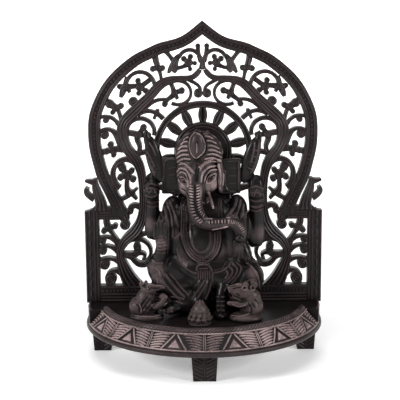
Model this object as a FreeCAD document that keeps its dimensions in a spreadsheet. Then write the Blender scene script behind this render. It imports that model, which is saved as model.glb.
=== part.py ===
import FreeCAD, Part
import math
import os
import Sketcher
from FreeCAD import Placement, Rotation, Vector

# A carved wooden shrine: a seated four-armed elephant-headed figure on a half-round footed base,
# two mice and a heap of sweets in front of it, and a fretwork arch board behind it whose tenons
# lift out of the base.
#
# Frame: the origin is the middle of the feet's bottom plane, the front looks along -Y, +Z is up.

# Driving dimensions in millimetres: alias, value, what it is.
SIZES = [
    ("leg_height", 26.5, "feet, from the table to the base plate"),
    ("leg_width", 19, "side foot, square at its top"),
    ("front_leg_width", 23, "front foot, square at its top"),
    ("leg_taper_angle", 3.5, "slope of each face of a foot"),
    ("side_leg_offset", 95.3, "side foot's middle from the middle of the shrine"),
    ("side_leg_front", 35, "front face of the side feet, along Y"),
    ("front_leg_front", -49.5, "front face of the front foot, along Y"),
    ("plate_radius", 110, "rounded lip of the base plate"),
    ("plate_thickness", 4, "base plate"),
    ("plate_round", 1.6, "rounding of the lip"),
    ("panel_front", 45, "front face of the fret board, along Y, and centre of the round front"),
    ("base_behind", 20, "base behind the fret board's front face"),
    ("block_radius", 108, "outer edge of the block's two ears"),
    ("block_thickness", 13.5, "block on the plate: its top is the deck"),
    ("deck_radius", 88, "deck inside the carved rim"),
    ("rim_half_angle", 76, "end of the carved rim, from straight ahead"),
    ("rim_foot_radius", 108.4, "carved rim at its foot"),
    ("rim_shoulder_radius", 95.7, "carved rim under its rope bead"),
    ("rim_shoulder_height", 13.4, "rope bead's middle above the plate"),
    ("rim_bead_radius", 3.3, "rope bead on the rim's top edge"),
    ("panel_thickness", 9, "fret board"),
    ("panel_clearance", 0.3, "play round the board's tenons and under its rail"),
    ("post_outer", 110, "outer edge of the posts from the middle"),
    ("post_inner", 97, "inner edge of the posts from the middle"),
    ("tenon_width", 9, "tenon under each post"),
    ("tenon_depth", 7, "tenon, front to back"),
    ("tenon_length", 9.5, "tenon below the rail"),
    ("mortise_depth", 10.2, "pocket for a tenon"),
    ("dowel_diameter", 5, "every hidden dowel"),
    ("leg_dowel_length", 14, "dowel through the plate into a foot"),
    ("figure_dowel_length", 14, "dowel from the block into a figure"),
    ("idol_height", 163.5, "seated figure above the deck"),
    ("mouse_height", 31, "mouse above the deck"),
    ("bowl_radius", 10.4, "tray under the sweets"),
    ("bowl_thickness", 3.6, "tray under the sweets"),
    ("sweets_height", 17.8, "heap of sweets above its tray"),
]

doc = FreeCAD.newDocument("shrine")
sheet = doc.addObject("Spreadsheet::Sheet", "Sizes")
for row, (alias, value, meaning) in enumerate(SIZES, start=1):
    sheet.set("A%d" % row, meaning)
    sheet.set("B%d" % row, str(value))
    sheet.setAlias("B%d" % row, alias)
doc.recompute()


def size(alias):
    """A driving dimension, read from the sheet."""
    return float(sheet.get(alias))


def bind(item, prop, expression):
    """Tie a property to an expression on the sheet."""
    item.setExpression(prop, expression)


# Where the figures' hidden dowels stand (x, y): two under the idol, one per mouse, one for the sweets.
SWEETS_MIDDLE = (-3.8, -23)
FIGURE_DOWELS = [(-10, 24), (8, 24), (-50, -1), (36, -7), SWEETS_MIDDLE]
DECK = size("leg_height") + size("plate_thickness") + size("block_thickness")
DECK_EXPRESSION = "Sizes.leg_height + Sizes.plate_thickness + Sizes.block_thickness"


# ---------------------------------------------------------------- sketches and bodies

def new_body(name, x="0", y="0", z="0"):
    """A body whose place follows the sheet."""
    body = doc.addObject("PartDesign::Body", name)
    body.Label = name
    bind(body, "Placement.Base.x", x)
    bind(body, "Placement.Base.y", y)
    bind(body, "Placement.Base.z", z)
    return body


def new_sketch(body, name, role, lift=None):
    """A sketch on one of the body's own origin planes, lifted along its normal if asked."""
    sketch = body.newObject("Sketcher::SketchObject", name)
    plane = [item for item in body.Origin.OriginFeatures if item.Role == role][0]
    sketch.AttachmentSupport = (plane, [""])
    sketch.MapMode = "FlatFace"
    if lift:
        bind(sketch, "AttachmentOffset.Base.z", lift)
    return sketch


def draw_rectangle(sketch, width, depth, middle_x="0", middle_y="0"):
    """A rectangle centred on a point, its four measures bound to expressions."""
    corners = [(-5, -5), (5, -5), (5, 5), (-5, 5)]
    base = sketch.GeometryCount
    for index in range(4):
        start = corners[index]
        end = corners[(index + 1) % 4]
        sketch.addGeometry(Part.LineSegment(Vector(*start, 0), Vector(*end, 0)), False)
    for index in range(4):
        following = base + (index + 1) % 4
        sketch.addConstraint(Sketcher.Constraint("Coincident", base + index, 2, following, 1))
    for index, direction in enumerate(["Horizontal", "Vertical", "Horizontal", "Vertical"]):
        sketch.addConstraint(Sketcher.Constraint(direction, base + index))
    measures = [
        (("DistanceX", base, 1, base, 2, 10), width),
        (("DistanceY", base + 1, 1, base + 1, 2, 10), depth),
        (("DistanceX", -1, 1, base, 2, 5), "(%s) + (%s) / 2" % (middle_x, width)),
        (("DistanceY", -1, 1, base + 1, 2, 5), "(%s) + (%s) / 2" % (middle_y, depth)),
    ]
    for definition, expression in measures:
        index = sketch.addConstraint(Sketcher.Constraint(*definition))
        bind(sketch, "Constraints[%d]" % index, expression)


def draw_circle(sketch, diameter, middle_x="0", middle_y="0"):
    """A circle whose diameter and centre are bound to expressions."""
    circle = sketch.addGeometry(Part.Circle(Vector(1, 1, 0), Vector(0, 0, 1), 2), False)
    measures = [
        (("Diameter", circle, 4), diameter),
        (("DistanceX", -1, 1, circle, 3, 1), middle_x),
        (("DistanceY", -1, 1, circle, 3, 1), middle_y),
    ]
    for definition, expression in measures:
        index = sketch.addConstraint(Sketcher.Constraint(*definition))
        bind(sketch, "Constraints[%d]" % index, expression)


def draw_half_round(sketch, radius, behind):
    """A half disc towards -Y, carried straight back by a distance."""
    reach = 50
    arc = Part.ArcOfCircle(Part.Circle(Vector(0, 0, 0), Vector(0, 0, 1), reach), math.pi, 2 * math.pi)
    sketch.addGeometry(arc, False)
    corners = [(reach, 0), (reach, 9), (-reach, 9), (-reach, 0)]
    for start, end in zip(corners, corners[1:]):
        sketch.addGeometry(Part.LineSegment(Vector(*start, 0), Vector(*end, 0)), False)
    rules = [
        ("Coincident", 0, 3, -1, 1),
        ("Coincident", 0, 2, 1, 1),
        ("Coincident", 1, 2, 2, 1),
        ("Coincident", 2, 2, 3, 1),
        ("Coincident", 3, 2, 0, 1),
        ("Vertical", 1),
        ("Horizontal", 2),
        ("Vertical", 3),
        ("PointOnObject", 0, 1, -1),
        ("PointOnObject", 0, 2, -1),
    ]
    for rule in rules:
        sketch.addConstraint(Sketcher.Constraint(*rule))
    index = sketch.addConstraint(Sketcher.Constraint("Radius", 0, reach))
    bind(sketch, "Constraints[%d]" % index, radius)
    index = sketch.addConstraint(Sketcher.Constraint("DistanceY", 1, 1, 1, 2, 9))
    bind(sketch, "Constraints[%d]" % index, behind)


def pad(body, name, sketch, length):
    feature = body.newObject("PartDesign::Pad", name)
    feature.Profile = sketch
    bind(feature, "Length", length)
    sketch.Visibility = False
    return feature


def pocket(body, name, sketch, depth):
    """A pocket that goes down from the sketch; its cut is checked by volume later."""
    feature = body.newObject("PartDesign::Pocket", name)
    feature.Profile = sketch
    bind(feature, "Length", depth)
    return feature


# ---------------------------------------------------------------- base and feet

def make_base_plate():
    """Half-round bottom board with a rounded lip and a hole for each foot's dowel."""
    body = new_body("base_plate", y="Sizes.panel_front", z="Sizes.leg_height")
    outline = new_sketch(body, "plate_outline", "XY_Plane")
    draw_half_round(outline, "Sizes.plate_radius", "Sizes.base_behind")
    board = pad(body, "plate_board", outline, "Sizes.plate_thickness")
    doc.recompute()
    edges = []
    for number, edge in enumerate(board.Shape.Edges, start=1):
        if abs(edge.BoundBox.ZLength) < 0.01:
            edges.append("Edge%d" % number)
    lip = body.newObject("PartDesign::Fillet", "plate_lip")
    lip.Base = (board, edges)
    bind(lip, "Radius", "Sizes.plate_round")
    holes = new_sketch(body, "plate_dowel_holes", "XY_Plane", lift="Sizes.plate_thickness")
    for x, y in leg_middles():
        draw_circle(holes, "Sizes.dowel_diameter", x, "(%s) - Sizes.panel_front" % y)
    pocket(body, "plate_dowel_pockets", holes, "Sizes.plate_thickness")
    return body


def make_base_block():
    """Block on the plate: the deck, the two ears under the posts, and all its sockets."""
    body = new_body("base_block", y="Sizes.panel_front", z="Sizes.leg_height + Sizes.plate_thickness")
    outline = new_sketch(body, "block_outline", "XY_Plane")
    draw_half_round(outline, "Sizes.block_radius", "Sizes.base_behind")
    pad(body, "block_board", outline, "Sizes.block_thickness")
    seat = new_sketch(body, "rim_seat_section", "YZ_Plane")
    width = "Sizes.block_radius + 5 - Sizes.deck_radius"
    middle = "-(Sizes.block_radius + 5 + Sizes.deck_radius) / 2"
    draw_rectangle(seat, width, "Sizes.block_thickness * 2", middle, "Sizes.block_thickness")
    doc.recompute()
    groove = body.newObject("PartDesign::Groove", "rim_seat")
    groove.Profile = seat
    groove.ReferenceAxis = (seat, ["V_Axis"])
    groove.Midplane = True
    bind(groove, "Angle", "Sizes.rim_half_angle * 2")
    mortises = new_sketch(body, "mortise_outline", "XY_Plane", lift="Sizes.block_thickness")
    play = "Sizes.panel_clearance * 2"
    for side in ("", "-"):
        across = side + "(Sizes.post_outer + Sizes.post_inner) / 2"
        draw_rectangle(mortises, "Sizes.tenon_width + " + play, "Sizes.tenon_depth + " + play,
                       across, "Sizes.panel_thickness / 2")
    doc.recompute()
    pocket(body, "mortises", mortises, "Sizes.mortise_depth")
    sockets = new_sketch(body, "dowel_sockets_outline", "XY_Plane", lift="Sizes.block_thickness")
    for x, y in FIGURE_DOWELS:
        draw_circle(sockets, "Sizes.dowel_diameter", "%g" % x, "%g - Sizes.panel_front" % y)
    doc.recompute()
    pocket(body, "dowel_sockets", sockets, "Sizes.figure_dowel_length / 2")
    return body


def make_base_rim():
    """Sloped half-round rim with a rope bead on its top edge, bent round the deck."""
    body = new_body("base_rim", y="Sizes.panel_front", z="Sizes.leg_height + Sizes.plate_thickness")
    section = new_sketch(body, "rim_section", "YZ_Plane")
    inner = -size("deck_radius")
    foot = -size("rim_foot_radius")
    shoulder = -size("rim_shoulder_radius")
    height = size("rim_shoulder_height")
    bead = size("rim_bead_radius")
    corners = [
        (shoulder, height),
        (foot, 0.8),
        (foot, 0),
        (inner, 0),
        (inner, height),
        (shoulder + bead * 2, height),
    ]
    for start, end in zip(corners, corners[1:]):
        section.addGeometry(Part.LineSegment(Vector(*start, 0), Vector(*end, 0)), False)
    circle = Part.Circle(Vector(shoulder + bead, height, 0), Vector(0, 0, 1), bead)
    crest = section.addGeometry(Part.ArcOfCircle(circle, 0, math.pi), False)
    joined = [(0, 2, 1, 1), (1, 2, 2, 1), (2, 2, 3, 1), (3, 2, 4, 1), (crest, 1, 4, 2), (crest, 2, 0, 1)]
    for rule in joined:
        section.addConstraint(Sketcher.Constraint("Coincident", *rule))
    section.addConstraint(Sketcher.Constraint("Horizontal", 4))
    places = [
        (0, 1, "-Sizes.rim_shoulder_radius", "Sizes.rim_shoulder_height"),
        (1, 1, "-Sizes.rim_foot_radius", "0.8"),
        (2, 1, "-Sizes.rim_foot_radius", "0"),
        (3, 1, "-Sizes.deck_radius", "0"),
        (4, 1, "-Sizes.deck_radius", "Sizes.rim_shoulder_height"),
        (crest, 3, "-Sizes.rim_shoulder_radius + Sizes.rim_bead_radius", "Sizes.rim_shoulder_height"),
    ]
    for line, end, across, up in places:
        spot = section.getPoint(line, end)
        for kind, drawn, expression in (("DistanceX", spot.x, across), ("DistanceY", spot.y, up)):
            index = section.addConstraint(Sketcher.Constraint(kind, -1, 1, line, end, drawn))
            bind(section, "Constraints[%d]" % index, expression)
    doc.recompute()
    turned = body.newObject("PartDesign::Revolution", "rim_turned")
    turned.Profile = section
    turned.ReferenceAxis = (section, ["V_Axis"])
    turned.Midplane = True
    bind(turned, "Angle", "Sizes.rim_half_angle * 2")
    return body


def leg_middles():
    """Middle of each foot at its top, as expressions: front, left, right."""
    side_y = "Sizes.side_leg_front + Sizes.leg_width / 2"
    return [
        ("0", "Sizes.front_leg_front + Sizes.front_leg_width / 2"),
        ("-Sizes.side_leg_offset", side_y),
        ("Sizes.side_leg_offset", side_y),
    ]


def make_leg(name, width, middle):
    """Square foot that narrows towards the table, with a dowel socket in its top."""
    x, y = middle
    body = new_body(name, x, y, "Sizes.leg_height")
    outline = new_sketch(body, name + "_outline", "XY_Plane")
    draw_rectangle(outline, width, width)
    shaft = pad(body, name + "_shaft", outline, "Sizes.leg_height")
    shaft.Reversed = True
    bind(shaft, "TaperAngle", "-Sizes.leg_taper_angle")
    socket = new_sketch(body, name + "_socket_outline", "XY_Plane")
    draw_circle(socket, "Sizes.dowel_diameter")
    doc.recompute()
    pocket(body, name + "_socket", socket, "Sizes.leg_dowel_length - Sizes.plate_thickness")
    return body


def make_dowels(name, middles, length, bottom):
    """A group of equal dowels, each a separate solid."""
    pins = []
    for number, (x, y) in enumerate(middles, start=1):
        pin = doc.addObject("Part::Cylinder", "%s_%d" % (name, number))
        bind(pin, "Radius", "Sizes.dowel_diameter / 2")
        bind(pin, "Height", length)
        bind(pin, "Placement.Base.x", x)
        bind(pin, "Placement.Base.y", y)
        bind(pin, "Placement.Base.z", bottom)
        pins.append(pin)
    group = doc.addObject("Part::Compound", name)
    group.Links = pins
    group.Label = name
    return group


# ---------------------------------------------------------------- fret board

# The right half of the fretwork, in millimetres across and up. A stem is (x, z, width) from end to
# end; a lobe is (x, z, radius). The left half mirrors it.
BORDER = [
    (-3.3, 301.4, 9.8), (7.2, 292.9, 9.8), (18.2, 286, 9.8), (28.7, 282.6, 10), (38.4, 280.1, 10.2),
    (47.8, 275.9, 10.2), (57.4, 271.4, 10.3), (66.9, 264.9, 10.4), (76.3, 256.9, 10.5),
    (85.8, 246.1, 10.5), (93.5, 232.5, 10.6), (98.2, 219.7, 10.7), (99.5, 205, 10.8),
    (98.6, 190, 10.8), (95.4, 175.5, 10.8), (91.5, 162, 11), (86.1, 151.1, 11.3), (80.8, 139.7, 11.8),
    (77, 131, 12),
]
TRUNK = [
    (62, 55, 17), (70.5, 67, 14), (75.8, 80, 10), (78.3, 91, 6.5), (73.5, 102.5, 8.7),
    (64, 111.5, 10.3), (58, 122, 9.3), (56, 136, 7), (55.8, 152, 7), (57, 167, 8), (61.5, 179, 9.3),
    (69, 189, 9.5), (73.5, 201, 10.5), (72, 213.5, 9.5), (61, 225, 10), (48, 237.5, 9),
    (37, 248.5, 8.5), (24, 252.7, 5.7), (10, 254, 4.8), (2.2, 261, 4),
]
STEMS = [
    # scrolls that spring from the trunk towards the post
    [(79, 96, 4), (83, 103.5, 3.6), (88.5, 106.3, 2.8), (97, 105.8, 2.8)],
    [(78, 88, 4), (83, 95.3, 3.8), (89, 98, 2.8), (97, 96.8, 2.8)],
    [(77, 78, 4), (82.5, 84.8, 3.8), (89, 86.3, 3), (97, 84.6, 3)],
    [(74, 68, 6), (80, 74, 5), (86, 74.3, 3), (90.4, 70.4, 3), (90.6, 64, 3), (88, 59, 4)],
    # small flower between the bar and the trunk
    [(90, 125, 5.5), (88.5, 116, 5), (84.3, 109.5, 3.2), (79, 101, 4)],
    # flower stalk and hook inside the low ring
    [(78, 90, 3), (70, 90, 5), (63.5, 90.5, 6), (62, 97, 7)],
    [(64, 89.5, 5), (58.5, 91.3, 3.6), (55, 89.6, 2.8), (54.8, 86.8, 2.2), (57.6, 85.8, 1.6)],
    [(50.5, 83, 3.4), (55.5, 80.3, 5), (61.5, 81.3, 5), (67, 86.6, 4), (76, 89.5, 3)],
    # branch behind the arms, and the three that meet behind the figure
    [(60, 108, 4), (52, 109.6, 3), (44, 106.5, 3.4), (37, 98, 4), (30, 86, 5), (26, 72, 5), (24, 55, 6)],
    [(60, 131, 6), (45, 128.5, 5.5), (30, 122, 6), (16, 112, 6.5), (0, 100, 7)],
    [(57, 155, 5), (41, 154, 5), (26, 149, 6)],
    [(62, 184, 4.5), (52, 186.5, 4.5), (43, 188, 5)],
    [(10, 56, 6), (17, 74, 6), (14, 92, 5), (3, 104, 5)],
    [(2, 128, 6), (10, 131, 4.5), (18, 128, 4), (24, 120, 5)],
    # curl under the arch foot, and the bar's rolled end
    [(58, 133.5, 4), (62.5, 136.4, 4.6), (66.8, 134.8, 5.6), (67.8, 131.6, 5.4)],
    [(86, 129.3, 12), (76, 129, 12.4), (72.8, 123, 8.4)],
    # stalk and leaf of the tall flower
    [(70.4, 160, 4), (70.2, 152, 5), (67.5, 147, 9)],
    [(66, 148, 4.4), (61.6, 142.2, 2.4)],
    [(68, 147, 5), (74.3, 143, 4), (79, 141, 4)],
    [(66, 148, 4), (61, 152.6, 2.6)],
    [(73.5, 170, 7), (75.4, 173.5, 7), (77, 177, 6)],
    # stalks of the flowers between the trunk and the border
    [(71, 188.6, 6), (79, 189, 5.5), (88, 187.3, 5), (95, 186, 6)],
    [(74, 211, 3.4), (75.3, 218.5, 3.2), (78.4, 226.5, 4), (84, 230.3, 6.4), (89, 234, 5)],
    [(76, 193, 5), (79.6, 202.5, 5), (84, 206.6, 3.6), (89, 207.3, 3.4), (94, 204.5, 4)],
    [(76, 206, 3.4), (79.6, 215, 3), (85, 218.4, 3), (94, 218, 3)],
    [(72, 204, 5), (65, 203.6, 5.2), (59, 202, 5.4)],
    [(59.4, 202.5, 5), (59.8, 197, 5), (58, 192, 4.4), (58.6, 187.5, 4), (62, 183, 4)],
    [(36, 216.5, 4), (40.5, 220.6, 4), (46, 223.3, 3.4), (53, 223.5, 4), (60, 221, 6)],
    [(41.4, 221, 3.6), (41.2, 225.6, 3.4)],
    [(42.6, 221, 3.4), (44.6, 216.6, 3)],
    # small scroll over the halo
    [(28.6, 249, 4.4), (26.6, 243, 4.4), (26.4, 239, 5), (30.6, 235.2, 4), (34, 231, 4.6)],
    [(31, 233.5, 3), (37, 234.3, 3), (44, 232.6, 3.4), (53, 226, 4)],
    [(25.5, 239.5, 5), (22.6, 234.6, 2.8)],
    # flower in the upper ring, its ladder band and its leaf
    [(44.5, 254.5, 4.6), (50, 250.5, 4.6), (56, 246, 5)],
    [(56, 246, 6), (63, 246.4, 4.6), (70, 245.6, 6), (75.8, 246.2, 4)],
    [(71, 246, 6), (72.8, 241, 5.6), (74.4, 236.4, 3)],
    [(68, 245, 4), (66.2, 240.6, 2.8)],
    [(68.6, 255, 3.4), (70, 249.5, 4), (71.5, 245, 5)],
    # stalk between the trunk and the border, with its two lobes
    [(38.6, 247, 3.6), (37.9, 256, 3), (40, 263, 4.4), (42.8, 274, 5.6)],
    # leaf of the topmost flower
    [(19.8, 274, 4), (24, 270, 6), (25.6, 264, 7), (23.6, 259, 2.6)],
    [(25.6, 268, 5), (29, 262, 4.6), (31, 258, 2.4)],
    [(25.4, 268, 5), (29, 272.6, 3.6), (33, 278, 5)],
    [(13, 266.4, 6), (18.6, 263.4, 3.4), (23, 262.6, 4)],
    # two curls and a bud under the arch's point
    [(14, 252.6, 3), (6.4, 248.6, 3), (2.4, 244.6, 3), (2.2, 241, 3.4)],
    [(1.6, 268, 4), (3.2, 274, 4), (4, 281, 4)],
]
# A flower is its middle and its petals, each (x, z, radius), with a neck from the middle to each petal.
FLOWERS = [
    ((87.6, 115, 3.2), [(82.2, 117, 2.7), (92.4, 112.8, 2.8)]),
    ((70.8, 165, 4.2), [(66, 168.8, 2.8), (64.6, 161, 2.9), (76.2, 162.8, 3), (74.4, 171.4, 3.4)]),
    ((83.6, 188.4, 3.4), [(84.8, 193.4, 2.8), (82, 183.8, 2.4), (88.4, 187.2, 3)]),
    ((79.4, 227.2, 3), [(74.6, 228.6, 2.8), (82, 223, 2.3), (84.6, 230.6, 3.9)]),
    ((59, 202, 3.4), [(54.4, 208.6, 3.1), (50, 201.4, 2.6)]),
    ((57, 245.4, 3.6), [(58.6, 251.4, 2.5), (51.6, 242.2, 2.5), (58, 240.2, 2.4)]),
    ((12.6, 267.4, 3.8), [(10.8, 272.6, 2.5), (16.8, 270.8, 2.6), (6.8, 266.8, 2), (11.2, 261.6, 2)]),
    ((40, 262.6, 2.2), [(36.4, 262.6, 2.7), (44.8, 262, 2.8)]),
    ((25.6, 240.2, 3.2), [(19, 242.2, 3)]),
    ((62.6, 91, 3), [(62.3, 98.2, 3.3)]),
    ((19, 139.4, 3.2), [(19, 145.6, 2.8), (13.4, 136.6, 2.8), (24.6, 136.6, 2.8)]),
]
LOBES = [
    (93.8, 103, 3.1), (93.8, 93.6, 3.6), (92.6, 80.8, 4.9), (86.8, 66.6, 5.2), (72.8, 118.5, 4.8),
    (67.8, 131.4, 3.2), (89.8, 202, 3.7), (88.4, 215.8, 2.8), (34.4, 230.2, 2.8), (63.4, 232.6, 4.2),
    (75.6, 246.4, 2.2), (4, 239.8, 4.1), (4, 282.2, 2.4),
]
# Round scrolls: middle, radii across and up, band width, start and end angle from +X towards +Z.
SCROLLS = [
    (62.3, 92.2, 13.2, 12.3, 3.4, 30, 240),
    (71, 165.5, 12.2, 14, 4.6, -62, 140),
    (57, 205, 12.6, 12, 3.6, 0, 196),
    (22.4, 240.2, 11.8, 10.8, 3, 60, 300),
    (56.6, 245.4, 13.2, 13.8, 3.6, -8, 190),
    (11.6, 266.6, 10.8, 12.2, 3.6, 30, 205),
    (19, 139, 9.6, 9.6, 3.6, -70, 245),
]
# Bird-head finial on a post.
FINIAL = [
    [(95.3, 132, 13), (95.2, 139.5, 9.6), (97.5, 147, 8), (99.6, 154.5, 6), (99.8, 162, 2.6)],
    [(99.6, 158.2, 6), (104, 159, 4.4), (109, 160, 2)],
    [(101, 143, 6), (105, 145.4, 5), (107.9, 149.4, 4.6), (107, 153.4, 3.6)],
]
HALO_HEIGHT = 187
HALO_DISC_RADIUS = 26.5
HALO_RING_RADIUS = 42.8
HALO_RING_WIDTH = 6
HALO_PETALS = 14
PETAL_HALF_WIDTH = 4.2
RAIL_TOP = 60.6
BAR_BOTTOM = 123.6
POST_TOP = 131.6
SAMPLES_PER_SPAN = 4


def smooth_edge(points):
    """One smooth curve through points."""
    curve = Part.BSplineCurve()
    curve.interpolate(points)
    return curve.toShape()


def ribbon_face(points):
    """Flat band of changing width along a smooth spine."""
    spine = Part.BSplineCurve()
    spine.interpolate([Vector(x, width, z) for x, z, width in points])
    first = spine.FirstParameter
    reach = spine.LastParameter - first
    count = SAMPLES_PER_SPAN * (len(points) - 1)
    left = []
    right = []
    for step in range(count + 1):
        at = first + reach * step / count
        middle = spine.value(at)
        along = spine.tangent(at)[0]
        across = Vector(-along.z, 0, along.x).normalize() * (middle.y / 2)
        spot = Vector(middle.x, 0, middle.z)
        left.append(spot + across)
        right.append(spot - across)
    right.reverse()
    edges = [
        smooth_edge(left),
        Part.makeLine(left[-1], right[0]),
        smooth_edge(right),
        Part.makeLine(right[-1], left[0]),
    ]
    return Part.Face(Part.Wire(edges))


def disc_face(x, z, radius):
    return Part.Face(Part.Wire(Part.makeCircle(radius, Vector(x, 0, z), Vector(0, 1, 0))))


def scroll_face(x, z, across, up, width, start, end):
    """Band along an elliptical arc."""
    points = []
    count = 8
    for step in range(count + 1):
        turn = math.radians(start + (end - start) * step / count)
        points.append((x + across * math.cos(turn), z + up * math.sin(turn), width))
    return ribbon_face(points)


def flower_faces(middle, petals):
    """Disc for the flower's middle, and a disc with a neck for each petal."""
    x, z, radius = middle
    faces = [disc_face(x, z, radius)]
    for petal_x, petal_z, petal_radius in petals:
        neck = petal_radius * 1.5
        faces.append(ribbon_face([(x, z, neck), (petal_x, petal_z, neck)]))
        faces.append(disc_face(petal_x, petal_z, petal_radius))
    return faces


def polygon_face(points):
    """Flat face with straight sides, corners given as (x, z)."""
    corners = [Vector(x, 0, z) for x, z in points]
    return Part.Face(Part.makePolygon(corners + corners[:1]))


def halo_faces():
    """Right half of the halo: disc, ring, and petals evenly spaced between them."""
    outer = disc_face(0, HALO_HEIGHT, HALO_RING_RADIUS + HALO_RING_WIDTH / 2)
    inner = disc_face(0, HALO_HEIGHT, HALO_RING_RADIUS - HALO_RING_WIDTH / 2)
    faces = [outer.cut(inner), disc_face(0, HALO_HEIGHT, HALO_DISC_RADIUS)]
    for petal in range(HALO_PETALS // 2 + 1):
        turn = math.radians(90 - 360 / HALO_PETALS * petal)
        points = []
        for reach, width in ((0.56, 0.7), (0.68, 1.7), (0.8, 2), (0.9, 1.5), (1, 0.9)):
            distance = HALO_RING_RADIUS * reach
            x = distance * math.cos(turn)
            z = HALO_HEIGHT + distance * math.sin(turn)
            points.append((x, z, PETAL_HALF_WIDTH * width))
        faces.append(ribbon_face(points))
    return faces


def frame_faces():
    """Right half of the straight members: post, mitred bar, bottom rail, tenon, centre stem."""
    inner = size("post_inner")
    outer = size("post_outer")
    foot = DECK + size("panel_clearance")
    tenon_left = (inner + outer - size("tenon_width")) / 2
    tenon_right = tenon_left + size("tenon_width")
    tenon_foot = foot - size("tenon_length")
    return [
        polygon_face([(inner, foot), (outer, foot), (outer, POST_TOP), (105, POST_TOP + 0.6),
                      (101, POST_TOP + 4), (84, POST_TOP + 4), (84, BAR_BOTTOM), (inner, BAR_BOTTOM)]),
        polygon_face([(-1, foot), (inner + 1, foot), (inner + 1, RAIL_TOP), (-1, RAIL_TOP)]),
        ribbon_face([(0, 56, 12), (0, 85, 8), (0, 115, 9), (0, 148, 12)]),
    ], polygon_face([(tenon_left, tenon_foot), (tenon_right, tenon_foot), (tenon_right, foot + 1),
                     (tenon_left, foot + 1)])


def half_outline(faces):
    """Edges round the right half's union, without those on the middle line."""
    half_plane = polygon_face([(0, 0), (130, 0), (130, 320), (0, 320)])
    half = faces[0].multiFuse(faces[1:]).common(half_plane)
    owners = {}
    for face in half.Faces:
        for edge in face.Edges:
            owners.setdefault(edge.hashCode(), []).append(edge)
    free = [edges[0] for edges in owners.values() if len(edges) == 1]
    return [edge for edge in free if edge.BoundBox.XMax > 0.001]


def make_fret_panel():
    """One sawn board: half of its outline is built flat, mirrored, and given its thickness."""
    faces, tenon = frame_faces()
    faces += halo_faces()
    faces += [ribbon_face(points) for points in [BORDER, TRUNK] + STEMS + FINIAL]
    faces += [disc_face(*lobe) for lobe in LOBES]
    faces += [scroll_face(*scroll) for scroll in SCROLLS]
    for middle, petals in FLOWERS:
        faces += flower_faces(middle, petals)
    edges = half_outline(faces)
    edges += [edge.mirror(Vector(0, 0, 0), Vector(1, 0, 0)) for edge in edges]
    wires = [Part.Wire(group) for group in Part.sortEdges(edges)]
    outline = Part.makeFace(wires, "Part::FaceMakerBullseye").Faces
    thickness = size("panel_thickness")
    board = outline[0].extrude(Vector(0, thickness, 0))
    setback = (thickness - size("tenon_depth")) / 2
    for part in (tenon, tenon.mirror(Vector(0, 0, 0), Vector(1, 0, 0))):
        block = part.extrude(Vector(0, size("tenon_depth"), 0))
        block.translate(Vector(0, setback, 0))
        board = board.fuse(block)
    panel = doc.addObject("Part::Feature", "fret_panel")
    panel.Label = "fret_panel"
    panel.Shape = board.Solids[0]
    panel.Placement = Placement(Vector(0, size("panel_front"), 0), Rotation())
    print("fret board: %d outlines, %d openings" % (len(outline), len(outline[0].Wires) - 1))
    return panel


# ---------------------------------------------------------------- carved figures

DRAWN_IDOL = 163.5
DRAWN_MOUSE = 31.0
DRAWN_SWEETS = 17.8

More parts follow.
